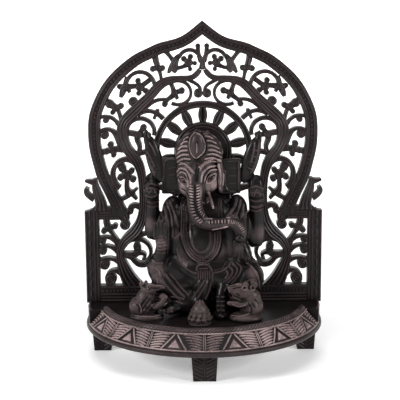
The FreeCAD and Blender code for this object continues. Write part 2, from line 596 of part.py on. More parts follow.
# Each lump is an ellipsoid: middle (x across, y along, z above the deck), half sizes (x, y, z) and
# its lean to the right in degrees.
IDOL_LUMPS = {
    "seat": ((0, 26, 12), (29, 14.5, 22), 0),
    "cloth": ((-1, 4, 24), (9, 10, 22), 0),
    "belly": ((2, 16, 63), (27.5, 18, 26), 0),
    "chest": ((0.5, 20, 89), (26, 15, 18), 0),
    "skull": ((-4, 18, 127.5), (20, 17, 19), 0),
    "crown": ((-3.6, 20, 144), (21.5, 16, 19.5), 0),
    "face": ((-4.6, 9, 116.5), (13, 12, 13.5), 0),
    "left_ear": ((-28.5, 24, 123.5), (9.5, 3.5, 17), 2),
    "right_ear": ((24, 24, 123), (10, 3.5, 16.5), -2),
    "trunk_root": ((-7, -1, 106), (7.5, 8.5, 20), 0),
    "trunk_bend": ((-4, -5, 90), (7.5, 6.5, 9), 0),
    "trunk_run": ((14, -5, 86), (18, 5.5, 5.5), 0),
    "trunk_tip": ((32, -5, 80), (7, 6, 9), 0),
    "left_shoulder": ((-28, 20, 94), (9.5, 10, 13), 10),
    "right_shoulder": ((31, 20, 94), (9, 10, 13), -10),
    "left_rear_arm": ((-39, 25, 80), (13, 8, 9), -40),
    "left_rear_forearm": ((-46, 25.5, 92), (7, 7, 27), 0),
    "left_rear_hand": ((-46.5, 24, 127), (5.5, 5, 17), 0),
    "left_axe": ((-49, 24.5, 149), (5, 4, 12), -6),
    "right_rear_arm": ((40, 25, 78), (13, 8, 9), 45),
    "right_rear_forearm": ((48, 25.5, 88), (7.5, 7.5, 27), 0),
    "right_rear_hand": ((45.5, 24, 123), (6, 5, 17), 0),
    "right_noose": ((48.5, 24.5, 146), (5.5, 4, 14), 8),
    "left_sleeve": ((-32, 16, 79), (7, 9, 21), 0),
    "left_elbow": ((-42, 4, 46), (8.5, 9, 12.5), 6),
    "left_wrist": ((-38.5, 0, 62), (6, 6, 15), 3),
    "blessing_hand": ((-37.5, -2.5, 80), (7.5, 4.5, 12), 0),
    "right_sleeve": ((34.5, 16, 79), (6.5, 9, 22), 0),
    "right_elbow": ((36.5, 3, 56.5), (6.5, 9, 12), -6),
    "sweet_hand": ((31, -5, 67), (6.5, 7, 11), 0),
    "left_thigh": ((-21.5, 12, 28), (21.5, 14, 13), -18),
    "right_thigh": ((20, 10, 32.5), (21.5, 14, 13.5), 14),
    "left_knee": ((-36, 15, 30), (10.5, 11, 12), 0),
    "right_knee": ((40.5, 12, 32.5), (13, 11, 16), 18),
    "right_shin": ((32, 17, 17), (15, 11, 19.5), 10),
    "left_foot": ((-24, 5, 6), (8.5, 9, 6), 0),
    "left_hem": ((-16, 6, 13), (18, 14, 12.5), 0),
    "right_ankle": ((13.5, -1, 14), (5, 7, 17), 0),
    "right_foot": ((13, -5, 4), (5.5, 10, 6), 0),
}
LEFT_MOUSE_LUMPS = {
    "slab": ((-48, -2, 1.5), (14.5, 10, 3.4), 0),
    "haunch": ((-52, -1, 9), (10, 8.5, 12.5), 0),
    "shoulders": ((-48, -2, 19), (8, 7, 9), 12),
    "head": ((-44, -3, 25.5), (8, 5.5, 5.5), 0),
    "paws": ((-38.5, -5, 16), (5.5, 4.5, 5.5), 0),
}
RIGHT_MOUSE_LUMPS = {
    "slab": ((35.5, -7, 1.5), (16, 11, 3.4), 0),
    "haunch": ((38, -6, 9), (12, 9.5, 13.5), 0),
    "shoulders": ((38, -8, 19), (10, 7.5, 9), 0),
    "head": ((43, -10, 25.4), (8, 6.5, 5.6), 0),
    "paws": ((28, -12, 14), (5.5, 5, 6), 0),
}
SWEETS_LUMPS = {
    "mound": ((-3.8, -23, 4), (8.6, 8.6, 9), 0),
    "left_column": ((-7.4, -23, 6), (4.6, 5, 10), 6),
    "right_column": ((-0.4, -23, 6), (4.6, 5, 10), -6),
    "tip": ((-3.8, -23, 12), (3, 3.2, 5.8), 0),
}


def make_lump(name, middle, half_sizes, lean, bottom, scale):
    """One egg-shaped mass, as a back and a front half that meet on its middle plane."""
    across, along, up = half_sizes
    halves = []
    for side, turn in (("back", 0), ("front", 180)):
        half = doc.addObject("Part::Ellipsoid", "%s_%s" % (name, side))
        half.Angle3 = 180
        bind(half, "Radius1", "%g * %s" % (up, scale))
        bind(half, "Radius2", "%g * %s" % (across, scale))
        bind(half, "Radius3", "%g * %s" % (along, scale))
        leaning = Rotation(Vector(0, 1, 0), lean)
        half.Placement.Rotation = leaning.multiply(Rotation(Vector(0, 0, 1), turn))
        bind(half, "Placement.Base.x", "%g * %s" % (middle[0], scale))
        bind(half, "Placement.Base.y", "%g * %s" % (middle[1], scale))
        bind(half, "Placement.Base.z", "%s + %g * %s" % (bottom, middle[2], scale))
        halves.append(half)
    return join_pair(name, halves[0], halves[1])


def join_pair(name, base, tool):
    """Two shapes fused, with the edges between their surfaces kept."""
    joined = doc.addObject("Part::Fuse", name)
    joined.Base = base
    joined.Tool = tool
    joined.Refine = False
    return joined


def make_figure(name, lumps, height_alias, drawn_height, bottom, dowels):
    """One carving: lumps that scale with its height, joined, cut flat below, bored for dowels."""
    scale = "Sizes.%s / %g" % (height_alias, drawn_height)
    joined = None
    for lump, (middle, half_sizes, lean) in lumps.items():
        piece = make_lump("%s_%s" % (name, lump), middle, half_sizes, lean, bottom, scale)
        if joined is None:
            joined = piece
        else:
            joined = join_pair("%s_with_%s" % (name, lump), joined, piece)
    below = doc.addObject("Part::Box", name + "_below")
    bind(below, "Length", "240")
    bind(below, "Width", "160")
    bind(below, "Height", "40")
    bind(below, "Placement.Base.x", "-120")
    bind(below, "Placement.Base.y", "-80")
    bind(below, "Placement.Base.z", "%s - 40" % bottom)
    tools = [below]
    for number, (x, y) in enumerate(dowels, start=1):
        bore = doc.addObject("Part::Cylinder", "%s_bore_%d" % (name, number))
        bind(bore, "Radius", "Sizes.dowel_diameter / 2")
        bind(bore, "Height", "Sizes.figure_dowel_length")
        bind(bore, "Placement.Base.x", "%g" % x)
        bind(bore, "Placement.Base.y", "%g" % y)
        bind(bore, "Placement.Base.z", DECK_EXPRESSION + " - Sizes.figure_dowel_length / 2")
        tools.append(bore)
    tool_union = doc.addObject("Part::MultiFuse", name + "_cuts")
    tool_union.Shapes = tools
    carving = doc.addObject("Part::Cut", name)
    carving.Base = joined
    carving.Tool = tool_union
    carving.Refine = False
    carving.Label = name
    return carving


def make_sweets_bowl():
    """Round two-ring tray turned from one blank, bored for its dowel."""
    x, y = SWEETS_MIDDLE
    body = new_body("sweets_bowl", "%g" % x, "%g" % y, DECK_EXPRESSION)
    lower = new_sketch(body, "bowl_lower_outline", "XY_Plane")
    draw_circle(lower, "Sizes.bowl_radius * 2")
    pad(body, "bowl_lower_ring", lower, "Sizes.bowl_thickness / 2")
    upper = new_sketch(body, "bowl_upper_outline", "XY_Plane", lift="Sizes.bowl_thickness / 2")
    draw_circle(upper, "Sizes.bowl_radius * 1.8")
    pad(body, "bowl_upper_ring", upper, "Sizes.bowl_thickness / 2")
    bore = new_sketch(body, "bowl_bore_outline", "XY_Plane", lift="Sizes.bowl_thickness")
    draw_circle(bore, "Sizes.dowel_diameter")
    doc.recompute()
    pocket(body, "bowl_bore", bore, "Sizes.bowl_thickness")
    return body


# ---------------------------------------------------------------- the assembly

parts = [make_base_plate(), make_base_block(), make_base_rim()]
front, left, right = leg_middles()
parts.append(make_leg("front_leg", "Sizes.front_leg_width", front))
parts.append(make_leg("left_leg", "Sizes.leg_width", left))
parts.append(make_leg("right_leg", "Sizes.leg_width", right))
parts.append(make_dowels("leg_dowels", leg_middles(), "Sizes.leg_dowel_length",
                         "Sizes.leg_height + Sizes.plate_thickness - Sizes.leg_dowel_length"))
parts.append(make_fret_panel())
parts.append(make_figure("idol_figure", IDOL_LUMPS, "idol_height", DRAWN_IDOL,
                         DECK_EXPRESSION, FIGURE_DOWELS[0:2]))
parts.append(make_figure("left_mouse", LEFT_MOUSE_LUMPS, "mouse_height", DRAWN_MOUSE,
                         DECK_EXPRESSION, FIGURE_DOWELS[2:3]))
parts.append(make_figure("right_mouse", RIGHT_MOUSE_LUMPS, "mouse_height", DRAWN_MOUSE,
                         DECK_EXPRESSION, FIGURE_DOWELS[3:4]))
parts.append(make_sweets_bowl())
parts.append(make_figure("sweets_pile", SWEETS_LUMPS, "sweets_height", DRAWN_SWEETS,
                         DECK_EXPRESSION + " + Sizes.bowl_thickness", FIGURE_DOWELS[4:5]))
dowel_places = [("%g" % x, "%g" % y) for x, y in FIGURE_DOWELS]
parts.append(make_dowels("figure_dowels", dowel_places, "Sizes.figure_dowel_length",
                         DECK_EXPRESSION + " - Sizes.figure_dowel_length / 2"))
doc.recompute()

for item in doc.Objects:
    if "Invalid" in item.State or "Error" in item.State:
        raise RuntimeError("%s did not recompute: %s" % (item.Label, item.State))

os.makedirs("parts", exist_ok=True)
for part in parts:
    shape = part.Shape
    if shape.isNull() or not shape.isValid():
        raise RuntimeError("%s has no valid shape" % part.Label)
    shape.exportStep("parts/%s.step" % part.Label)
    print("%-14s %2d solids %9.0f mm3" % (part.Label, len(shape.Solids), shape.Volume))
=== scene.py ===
# %% [markdown]
# A seated elephant-headed figure in a pierced arch, all carved in dark wood.
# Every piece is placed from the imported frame, in metres, with the front towards -Y. The lengths in the
# lists are in millimetres, the carver's own unit, and each helper turns them into metres.

import math

import bpy
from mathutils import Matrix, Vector


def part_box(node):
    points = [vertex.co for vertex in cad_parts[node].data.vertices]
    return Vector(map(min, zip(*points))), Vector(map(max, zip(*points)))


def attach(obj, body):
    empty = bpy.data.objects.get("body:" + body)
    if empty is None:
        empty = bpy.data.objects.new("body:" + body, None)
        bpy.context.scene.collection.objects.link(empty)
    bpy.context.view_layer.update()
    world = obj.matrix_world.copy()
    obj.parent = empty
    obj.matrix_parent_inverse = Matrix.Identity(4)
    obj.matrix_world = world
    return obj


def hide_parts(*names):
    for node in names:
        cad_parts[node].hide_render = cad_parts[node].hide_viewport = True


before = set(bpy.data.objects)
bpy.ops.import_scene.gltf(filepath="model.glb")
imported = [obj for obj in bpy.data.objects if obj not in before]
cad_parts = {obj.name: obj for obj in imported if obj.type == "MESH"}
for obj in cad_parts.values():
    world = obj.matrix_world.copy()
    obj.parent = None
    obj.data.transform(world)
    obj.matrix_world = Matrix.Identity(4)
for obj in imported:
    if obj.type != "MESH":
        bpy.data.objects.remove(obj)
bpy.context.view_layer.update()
bpy.ops.object.select_all(action="DESELECT")
MM = 0.001
DECK_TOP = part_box("base_block")[1][2]
BOARD_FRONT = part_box("fret_panel")[0][1]
BOARD_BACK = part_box("fret_panel")[1][1]
print("deck at", round(DECK_TOP, 4), "board from", round(BOARD_FRONT, 4), "to", round(BOARD_BACK, 4))

# %% [markdown]
# ## The viewpoint
# The piece is seen from straight in front and a little above, through a long lens. The camera is placed
# first, because the carved lines are later laid on the figure as a carver draws them: on a flat board in
# front, along the line of sight.

# %% Camera
AIM = Vector((-3 * MM, BOARD_FRONT, 141.6 * MM))
TILT = math.radians(10)
ROLL = math.radians(-0.39)
REACH = 915.8 * MM
LENS = 89.2
EYE = AIM + Vector((0, -math.cos(TILT), math.sin(TILT))) * REACH
bpy.ops.object.camera_add(location=EYE, rotation=(math.radians(90) - TILT, 0, 0))
camera = bpy.context.active_object
camera.data.lens = LENS
camera.data.sensor_width = 36
camera.data.clip_end = 20
camera.rotation_euler.rotate_axis("Z", ROLL)
bpy.context.scene.camera = camera
print("camera at", [round(c, 3) for c in camera.location])

# %% [markdown]
# ## Floor and light
# Pale paper lies under the piece and stands behind it. It gives some light of its own, more of it further
# out, so the ground stays bright to its edges. The wood is so dark that its shape shows mostly by its
# sheen: a small light in front on each side draws the edges, and a large one high up keeps the shadow on
# the paper soft.

# %% Floor
FLOOR_SIZE = 60
BACKDROP_SIZE = 8
BACKDROP_PLACE = (0, 4, 0)
bpy.ops.mesh.primitive_plane_add(size=FLOOR_SIZE, location=(0, 0, 0))
floor = bpy.context.active_object
floor.name = "floor"
bpy.ops.mesh.primitive_plane_add(
    size=BACKDROP_SIZE, location=BACKDROP_PLACE, rotation=(math.radians(90), 0, 0)
)
backdrop = bpy.context.active_object
backdrop.name = "backdrop"

# %% Lights
LIT_POINT = Vector((0, 0, 0.12))


def soft_light(name, place, size, power):
    """Square area light that faces the middle of the piece."""
    bpy.ops.object.light_add(type="AREA", location=place)
    light = bpy.context.active_object
    light.name = name
    light.data.size = size
    light.data.energy = power
    toward = LIT_POINT - Vector(place)
    light.rotation_euler = toward.to_track_quat("-Z", "Y").to_euler()


soft_light("left_light", (-1.25, -0.75, 0.75), 0.3, 17)
soft_light("right_light", (1.25, -0.8, 0.7), 0.3, 14)
soft_light("top_light", (-0.1, -0.5, 1.7), 0.9, 12)
world = bpy.data.worlds.new("studio")
bpy.context.scene.world = world
world.use_nodes = True
world.node_tree.nodes["Background"].inputs["Color"].default_value = (1, 1, 1, 1)
world.node_tree.nodes["Background"].inputs["Strength"].default_value = 0.1
bpy.context.scene.view_settings.view_transform = "Standard"

# %% [markdown]
# ## Shader maths as expressions
# A small class wraps a socket, so a mask can be written as arithmetic. `node` makes any other node from
# its type, its settings and its inputs.

# %% Socket arithmetic


class Value:
    """A node output that can be added, taken from a number and multiplied."""

    def __init__(self, tree, socket):
        self.tree = tree
        self.socket = socket

    def math(self, operation, first, second):
        maker = self.tree.nodes.new("ShaderNodeMath")
        maker.operation = operation
        for slot, value in zip(maker.inputs, (first, second)):
            if isinstance(value, Value):
                self.tree.links.new(value.socket, slot)
            else:
                slot.default_value = value
        return Value(self.tree, maker.outputs[0])

    def __add__(self, other):
        return self.math("ADD", self, other)

    def __radd__(self, other):
        return self.math("ADD", other, self)

    def __rsub__(self, other):
        return self.math("SUBTRACT", other, self)

    def __mul__(self, other):
        return self.math("MULTIPLY", self, other)

    def __rmul__(self, other):
        return self.math("MULTIPLY", other, self)

    def above(self, low, high):
        """0 below low, 1 above high, and a ramp between."""
        ramp = self.tree.nodes.new("ShaderNodeMapRange")
        self.tree.links.new(self.socket, ramp.inputs["Value"])
        ramp.inputs["From Min"].default_value = low
        ramp.inputs["From Max"].default_value = high
        return Value(self.tree, ramp.outputs["Result"])


# %% Material maker


class Finish:
    """One procedural material."""

    def __init__(self, name):
        self.material = bpy.data.materials.new(name)
        self.material.use_nodes = True
        self.tree = self.material.node_tree
        self.tree.nodes.clear()
        self.surface = self.tree.nodes.new("ShaderNodeBsdfPrincipled")
        output = self.tree.nodes.new("ShaderNodeOutputMaterial")
        self.tree.links.new(self.surface.outputs["BSDF"], output.inputs["Surface"])

    def node(self, kind, settings=None, output=0, **values):
        """A node of a kind: settings first, then its inputs, by name with _ for a space."""
        maker = self.tree.nodes.new(kind)
        for key, value in (settings or {}).items():
            setattr(maker, key, value)
        for key, value in values.items():
            self.feed(maker, key.replace("_", " "), value)
        return Value(self.tree, maker.outputs[output])

    def feed(self, maker, name, value):
        """Links or sets one input of a node."""
        slot = maker.inputs[name]
        if isinstance(value, Value):
            self.tree.links.new(value.socket, slot)
        else:
            slot.default_value = value

    def mix(self, share, first, second):
        """Colour between two colours."""
        maker = self.tree.nodes.new("ShaderNodeMix")
        maker.data_type = "RGBA"
        self.tree.links.new(share.socket, maker.inputs[0])
        for slot, value in ((maker.inputs[6], first), (maker.inputs[7], second)):
            if isinstance(value, Value):
                self.tree.links.new(value.socket, slot)
            else:
                slot.default_value = (*value, 1)
        return Value(self.tree, maker.outputs[2])

    def shader(self, **values):
        for key, value in values.items():
            self.feed(self.surface, key.replace("_", " "), value)


# %% [markdown]
# ## Stained wood
# The carving is a close-grained hardwood with a near-black stain and a satin wax. A fine grain and a slow
# cloud change the stain a little. Shade is painted near-black into the hollows, which an Ambient Occlusion
# node finds. The ridges are painted a pinkish grey, partly handling wear and partly painted highlight: a
# second such node, which looks into the wood, finds those. The same colour goes a little on open faces,
# partly dust and partly painted light, and some round places, such as the cheeks and the belly, get a
# painted sheen. The thin lines that stand for cuts have a wood of their own that stays black: painted shade
# in the cuts.

# %% Carved wood
HOLLOW_REACH = 0.0045
RIDGE_REACH = 0.0022
# Near-black colour of the painted shade in the hollows.
HOLLOW_SHADE = (0.001, 0.0007, 0.0007)
WAX = 0.21


def carved_wood(name, deep, stained, wear_and_sheen_colour, edge_wear_and_highlight, shine, dust_and_open_light=0.1, grain=(1, 1, 0.16), sheen_places=()):
    """Stained wood with a fine grain: painted shade in its hollows, ridges lighter from handling and
    painted highlight, a dusty tone and painted light where it is open.

    Each place of painted sheen is ((x, y, z), reach), in mm.
    """
    wood = Finish(name)
    place = wood.node("ShaderNodeTexCoord", output=3)
    along = wood.node("ShaderNodeMapping", Vector=place, Scale=grain)
    fibre = wood.node("ShaderNodeTexNoise", Vector=along, Scale=900.0, Detail=4.0, Roughness=0.6)
    pores = wood.node("ShaderNodeTexNoise", Vector=along, Scale=2600.0, Detail=2.0)
    cloud = wood.node("ShaderNodeTexNoise", Vector=place, Scale=60.0, Detail=4.0, Roughness=0.6)
    specks = wood.node("ShaderNodeTexNoise", Vector=place, Scale=700.0, Detail=3.0)
    outside, inside = {"samples": 6}, {"samples": 6, "inside": True}
    opened = wood.node("ShaderNodeAmbientOcclusion", outside, output=1, Distance=HOLLOW_REACH)
    inward = wood.node("ShaderNodeAmbientOcclusion", inside, output=1, Distance=RIDGE_REACH)
    # Ridges found by the inward node, for the pale tone: partly handling wear, partly painted highlight.
    ridge = (1 - inward).above(0.15, 0.75)
    patchy = (cloud * 1.1 + specks * 0.7 + fibre * 0.5).above(0.85, 1.5)
    # Pale tone: wear and painted highlight on ridges, dust and painted light on open faces.
    wear_dust_and_sheen = ridge * (patchy * 0.85 + 0.15) * edge_wear_and_highlight + opened.above(0.6, 1.0) * (patchy * 0.7 + 0.3) * dust_and_open_light
    # Painted sheen: round places, such as the cheeks and the belly, are made paler where they are open.
    for middle, reach in sheen_places:
        away = wood.node("ShaderNodeVectorMath", {"operation": "DISTANCE"}, output=1, Vector=place)
        away.socket.node.inputs[1].default_value = [c * MM for c in middle]
        wear_dust_and_sheen = wear_dust_and_sheen + (1 - away.above(reach * 0.35 * MM, reach * MM)) * (patchy * 0.5 + 0.35) * opened
    stain = wood.mix(fibre.above(0.35, 0.7) * 0.55 + cloud * 0.3, deep, stained)
    # Painted shade: where the Ambient Occlusion node finds a hollow, the colour goes to near-black.
    hollow_shade = wood.mix(opened.above(0.25, 0.8), HOLLOW_SHADE, stain)
    colour = wood.mix(wear_dust_and_sheen.above(0.0, 1.0), hollow_shade, wear_and_sheen_colour)
    height = fibre * 0.5 + pores * 0.25 + specks * 0.5
    bump = wood.node("ShaderNodeBump", Height=height, Strength=0.3, Distance=0.0003)
    rough = shine + 0.14 * specks + 0.25 * (1 - opened)
    wood.shader(Base_Color=colour, Roughness=rough, Normal=bump, Specular_IOR_Level=WAX)
    return wood.material


BLACK = (0.0025, 0.0015, 0.0017)
UMBER = (0.008, 0.0048, 0.0054)
SEPIA = (0.016, 0.010, 0.010)
DARK_ROSE = (0.11, 0.075, 0.078)
PALE_ROSE = (0.34, 0.25, 0.245)
ACROSS = (0.16, 1, 1)
# Places of painted sheen, as ((x, y, z), reach) in mm: the cheeks here, the body below.
CHEEK_SHEEN = (((-15, 0, 160), 8), ((9, 0, 163), 8), ((-6, -12, 158), 8))
SHEEN = (
    ((14, -1, 104), 13),
    ((-16, 0, 98), 10),
    ((-42, -4, 88), 10),
    ((-40, -4, 76), 8),
    ((-28, 10, 130), 8),
    ((-24, 5, 118), 7),
    ((-48, 20, 124), 8),
    ((52, 18, 116), 9),
    ((24, 8, 132), 8),
    ((-37, -6, 112), 8),
    ((44, -4, 84), 8),
)
# Each wood: name, darkest stain, stain, pale tone of wear, dust and painted light, its share on ridges,
# roughness, its share on open faces.
board_wood = carved_wood("board_wood", BLACK, UMBER, (0.05, 0.031, 0.034), 0.6, 0.34, 0.12)
figure_wood = carved_wood(
    "figure_wood", BLACK, (0.005, 0.0032, 0.0036), DARK_ROSE, 0.6, 0.26, 0.03, sheen_places=SHEEN
)
head_wood = carved_wood("head_wood", BLACK, (0.010, 0.006, 0.0064), PALE_ROSE, 1.0, 0.28, 0.12, sheen_places=CHEEK_SHEEN)
mouse_wood = carved_wood("mouse_wood", BLACK, SEPIA, (0.17, 0.116, 0.114), 1.0, 0.34, 0.42)
dusty_wood = carved_wood("dusty_wood", BLACK, SEPIA, PALE_ROSE, 1.0, 0.36, 0.25)
# The pyramids get a strong share on open faces: partly dust, partly painted light on their faces.
pyramid_wood = carved_wood("pyramid_wood", BLACK, SEPIA, PALE_ROSE, 1.0, 0.4, 0.55)
rim_wood = carved_wood("rim_wood", BLACK, (0.006, 0.004, 0.0042), DARK_ROSE, 0.4, 0.45, 0.05, ACROSS)
lip_wood = carved_wood(
    "lip_wood", BLACK, (0.016, 0.010, 0.0105), (0.15, 0.105, 0.104), 0.8, 0.36, 0.2, ACROSS
)
deck_wood = carved_wood("deck_wood", BLACK, UMBER, (0.04, 0.026, 0.028), 0.6, 0.42, 0.12, ACROSS)
# Near-black wood for the rods that stand for cuts: painted shade in the grooves.
cut_shade_wood = carved_wood(
    "cut_shade_wood", (0.001, 0.0006, 0.0007), (0.002, 0.0013, 0.0014), (0.004, 0.003, 0.003), 0.3, 0.7
)
print(len(bpy.data.materials), "materials")

# %% Floor finish


def paper(name, low, high):
    """Pale paper that gives its own light, more of it further from the middle."""
    sheet = Finish(name)
    place = sheet.node("ShaderNodeTexCoord", output=3)
    grit = sheet.node("ShaderNodeTexNoise", Vector=place, Scale=900.0, Detail=2.0)
    away = sheet.node("ShaderNodeVectorMath", {"operation": "LENGTH"}, output=1, Vector=place)
    glow = sheet.mix(away.above(0.3, 1.5), (low, low, low), (high, high, high))
    tone = sheet.mix(grit, (0.92, 0.92, 0.92), (0.95, 0.95, 0.95))
    sheet.shader(Base_Color=tone, Emission_Color=glow, Roughness=0.9, Emission_Strength=1.0)
    return sheet.material


floor.data.materials.append(paper("floor_paper", 0.3, 0.95))
backdrop.data.materials.append(paper("backdrop_paper", 0.9, 0.95))

# %% [markdown]
# ## Helpers for shaping
# Each mass of the figures starts as a ball or a round stick that is stretched to its size, and the
# masses of one carving are run together by a voxel remesh, then smoothed, as a carver blends one form
# into the next. Raised lines are thin rods that follow a curve and are sunk in the wood by half.

# %% Selecting, joining and finishing


def only(piece):
    """Makes a piece the one selected object."""
    bpy.ops.object.select_all(action="DESELECT")
    piece.select_set(True)
    bpy.context.view_layer.objects.active = piece


def apply_modifier(piece, kind, **settings):
    """Adds a modifier of a kind and makes its result the mesh."""
    only(piece)
    modifier = piece.modifiers.new(kind.title(), kind)
    for key, value in settings.items():
        setattr(modifier, key, value)
    bpy.ops.object.modifier_apply(modifier=modifier.name)


def join(pieces, name):
    """One mesh from several, with its place in its vertices."""
    bpy.ops.object.select_all(action="DESELECT")
    for piece in pieces:
        piece.select_set(True)
    bpy.context.view_layer.objects.active = pieces[0]
    bpy.ops.object.join()
    whole = bpy.context.active_object
    bpy.ops.object.transform_apply(location=True, rotation=True, scale=True)
    whole.name = name
    whole.data.name = name
    return whole


def dress(piece, name, body, material, slot, *nodes):
    """Name, finish, body and CAD nodes of a finished piece."""
    piece.name = name
    piece.data.materials.clear()
    piece.data.materials.append(material)
    only(piece)
    bpy.ops.object.shade_smooth_by_angle(angle=math.radians(50))
    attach(piece, body)
    if nodes:
        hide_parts(*nodes)
    piece.data.calc_loop_triangles()
    print(name, len(piece.data.loop_triangles), "triangles")


def face_out(piece):
    """Turns every face of closed shells outwards."""
    only(piece)
    bpy.ops.object.mode_set(mode="EDIT")
    bpy.ops.mesh.select_all(action="SELECT")
    bpy.ops.mesh.normals_make_consistent(inside=False)
    bpy.ops.object.mode_set(mode="OBJECT")


# %% Balls, sticks and rods


def egg(middle, half, lean=0, detail=3):
    """Stretched ball, leaning about the front-to-back axis."""
    bpy.ops.mesh.primitive_ico_sphere_add(
        subdivisions=detail,
        radius=1,
        location=[c * MM for c in middle],
        rotation=(0, math.radians(lean), 0),
        scale=[h * MM for h in half],
    )
    return bpy.context.active_object


def smooth_path(points, step):
    """Points along a smooth curve through a few points of any size, about a step apart."""
    points = [Vector(p) for p in points]
    if len(points) == 2:
        count = max(2, round((points[1] - points[0]).length / step))
        return [points[0].lerp(points[1], i / count) for i in range(count + 1)]
    ends = [2 * points[0] - points[1]] + points + [2 * points[-1] - points[-2]]
    path = []
    for a, b, c, d in zip(ends, ends[1:], ends[2:], ends[3:]):
        count = max(1, round((c - b).length / step))
        for i in range(count):
            t = i / count
            bend = 2 * b + (c - a) * t + (2 * a - 5 * b + 4 * c - d) * t * t
            path.append(0.5 * (bend + (3 * b - a - 3 * c + d) * t**3))
    path.append(points[-1])
    return path


def rods(runs, name, sides=1):
    """One mesh of round rods. Each run is a list of (place in metres, radius in mm) pairs."""
    curve = bpy.data.curves.new(name, "CURVE")
    curve.dimensions = "3D"
    curve.bevel_depth = MM
    curve.bevel_resolution = sides
    curve.use_fill_caps = True
    for run in runs:
        spline = curve.splines.new("POLY")
        spline.points.add(len(run) - 1)
        for point, (place, radius) in zip(spline.points, run):
            point.co = (*place, 1)
            point.radius = radius
    piece = bpy.data.objects.new(name, curve)
    bpy.context.collection.objects.link(piece)
    only(piece)
    bpy.ops.object.convert(target="MESH")
    piece = bpy.context.active_object
    face_out(piece)
    return piece


def stick(points, name="stick"):
    """Round limb through (x, y, z, radius) points in mm."""
    path = smooth_path([Vector(p) for p in points], 2.5)
    run = [((p[0] * MM, p[1] * MM, p[2] * MM), p[3]) for p in path]
    piece = rods([run], name, 4)
    ends = [egg((x, y, z), [radius] * 3, 0, 2) for x, y, z, radius in (points[0], points[-1])]
    return join([piece] + ends, name)


def blend_masses(pieces, name, voxel, rounds=4):
    """Runs overlapping masses together into one smooth closed skin."""
    whole = join(pieces, name)
    apply_modifier(whole, "REMESH", mode="VOXEL", voxel_size=voxel * MM)
    apply_modifier(whole, "SMOOTH", factor=0.6, iterations=rounds)
    return whole


# %% Lines laid on the wood
# The drawing board stands this far behind the origin.
DRAWING_BOARD = 8
LINE_END = 0.45
BEAD_SHAPE = ((-1, 0.25), (-0.6, 0.85), (0, 1.05), (0.6, 0.85), (1, 0.25))


def cast(point, target):
    """Where the line of sight through an (x, z) point of the drawing board meets a piece."""
    through = Vector((point[0] * MM, DRAWING_BOARD * MM, point[1] * MM))
    hit, place, _, _ = target.ray_cast(EYE, through - EYE)
    return place if hit and place.y < BOARD_FRONT else None


def lay_lines(lines, target, name, proud=0.35, step=1.2):
    """Raised lines on a piece, from (radius, board points) pairs. A line breaks where the skin jumps."""
    runs = []
    for radius, points in lines:
        run = []
        for point in smooth_path([Vector((*p, 0)) for p in points], step):
            place = cast(point, target)
            if place is None:
                continue
            if run and (place - run[-1][0]).length > 6 * step * MM:
                if len(run) > 2:
                    runs.append(run)
                run = []
            toward = (EYE - place).normalized()
            run.append((place + toward * radius * proud * MM, radius))
        if len(run) > 1:
            runs.append(run)
    for run in runs:
        if len(run) > 2:
            for end in (0, -1):
                run[end] = (run[end][0], run[end][1] * LINE_END)
    return rods(runs, name)


def lay_beads(lines, target, name, pitch=2.1):
    """Rows of beads on a piece, from (radius, board points) pairs."""
    runs = []
    for radius, points in lines:
        for point in smooth_path([Vector((*p, 0)) for p in points], pitch):
            place = cast(point, target)
            if place is None:
                continue
            toward = (EYE - place).normalized()
            high = place + toward * radius * 0.3 * MM
            reach = Vector((0, 0, radius * 0.95 * MM))
            runs.append([(high + reach * t, radius * r) for t, r in BEAD_SHAPE])
    return rods(runs, name)


# %% [markdown]
# ## The pierced arch
# The arch is sawn from one board, so its outline is the frame's own node and only gets its wood. What
# the saw can't give is the carving on its face: each stem is worked into a bundle of round reeds that
# run along it, each flower and curl has a ring and a boss, and the border has beads between its reeds.
# The reeds are rods sunk by half in the board. A reed stops where it would cross a member that lies over
# its own, which a distance test finds, as a carver stops the gouge at the next stem.

# %% The members of the board, right half
BORDER = [
    (-3.3, 301.4, 9.8), (7.2, 292.9, 9.8), (18.2, 286, 9.8), (28.7, 282.6, 10), (38.4, 280.1, 10.2),
    (47.8, 275.9, 10.2), (57.4, 271.4, 10.3), (66.9, 264.9, 10.4), (76.3, 256.9, 10.5),
    (85.8, 246.1, 10.5), (93.5, 232.5, 10.6), (98.2, 219.7, 10.7), (99.5, 205, 10.8),
    (98.6, 190, 10.8), (95.4, 175.5, 10.8), (91.5, 162, 11), (86.1, 151.1, 11.3), (80.8, 139.7, 11.8),
    (77, 131, 12),
]
TRUNK = [
    (62, 55, 17), (70.5, 67, 14), (75.8, 80, 10), (78.3, 91, 6.5), (73.5, 102.5, 8.7),
    (64, 111.5, 10.3), (58, 122, 9.3), (56, 136, 7), (55.8, 152, 7), (57, 167, 8), (61.5, 179, 9.3),
    (69, 189, 9.5), (73.5, 201, 10.5), (72, 213.5, 9.5), (61, 225, 10), (48, 237.5, 9),
    (37, 248.5, 8.5), (24, 252.7, 5.7), (10, 254, 4.8), (2.2, 261, 4),
]
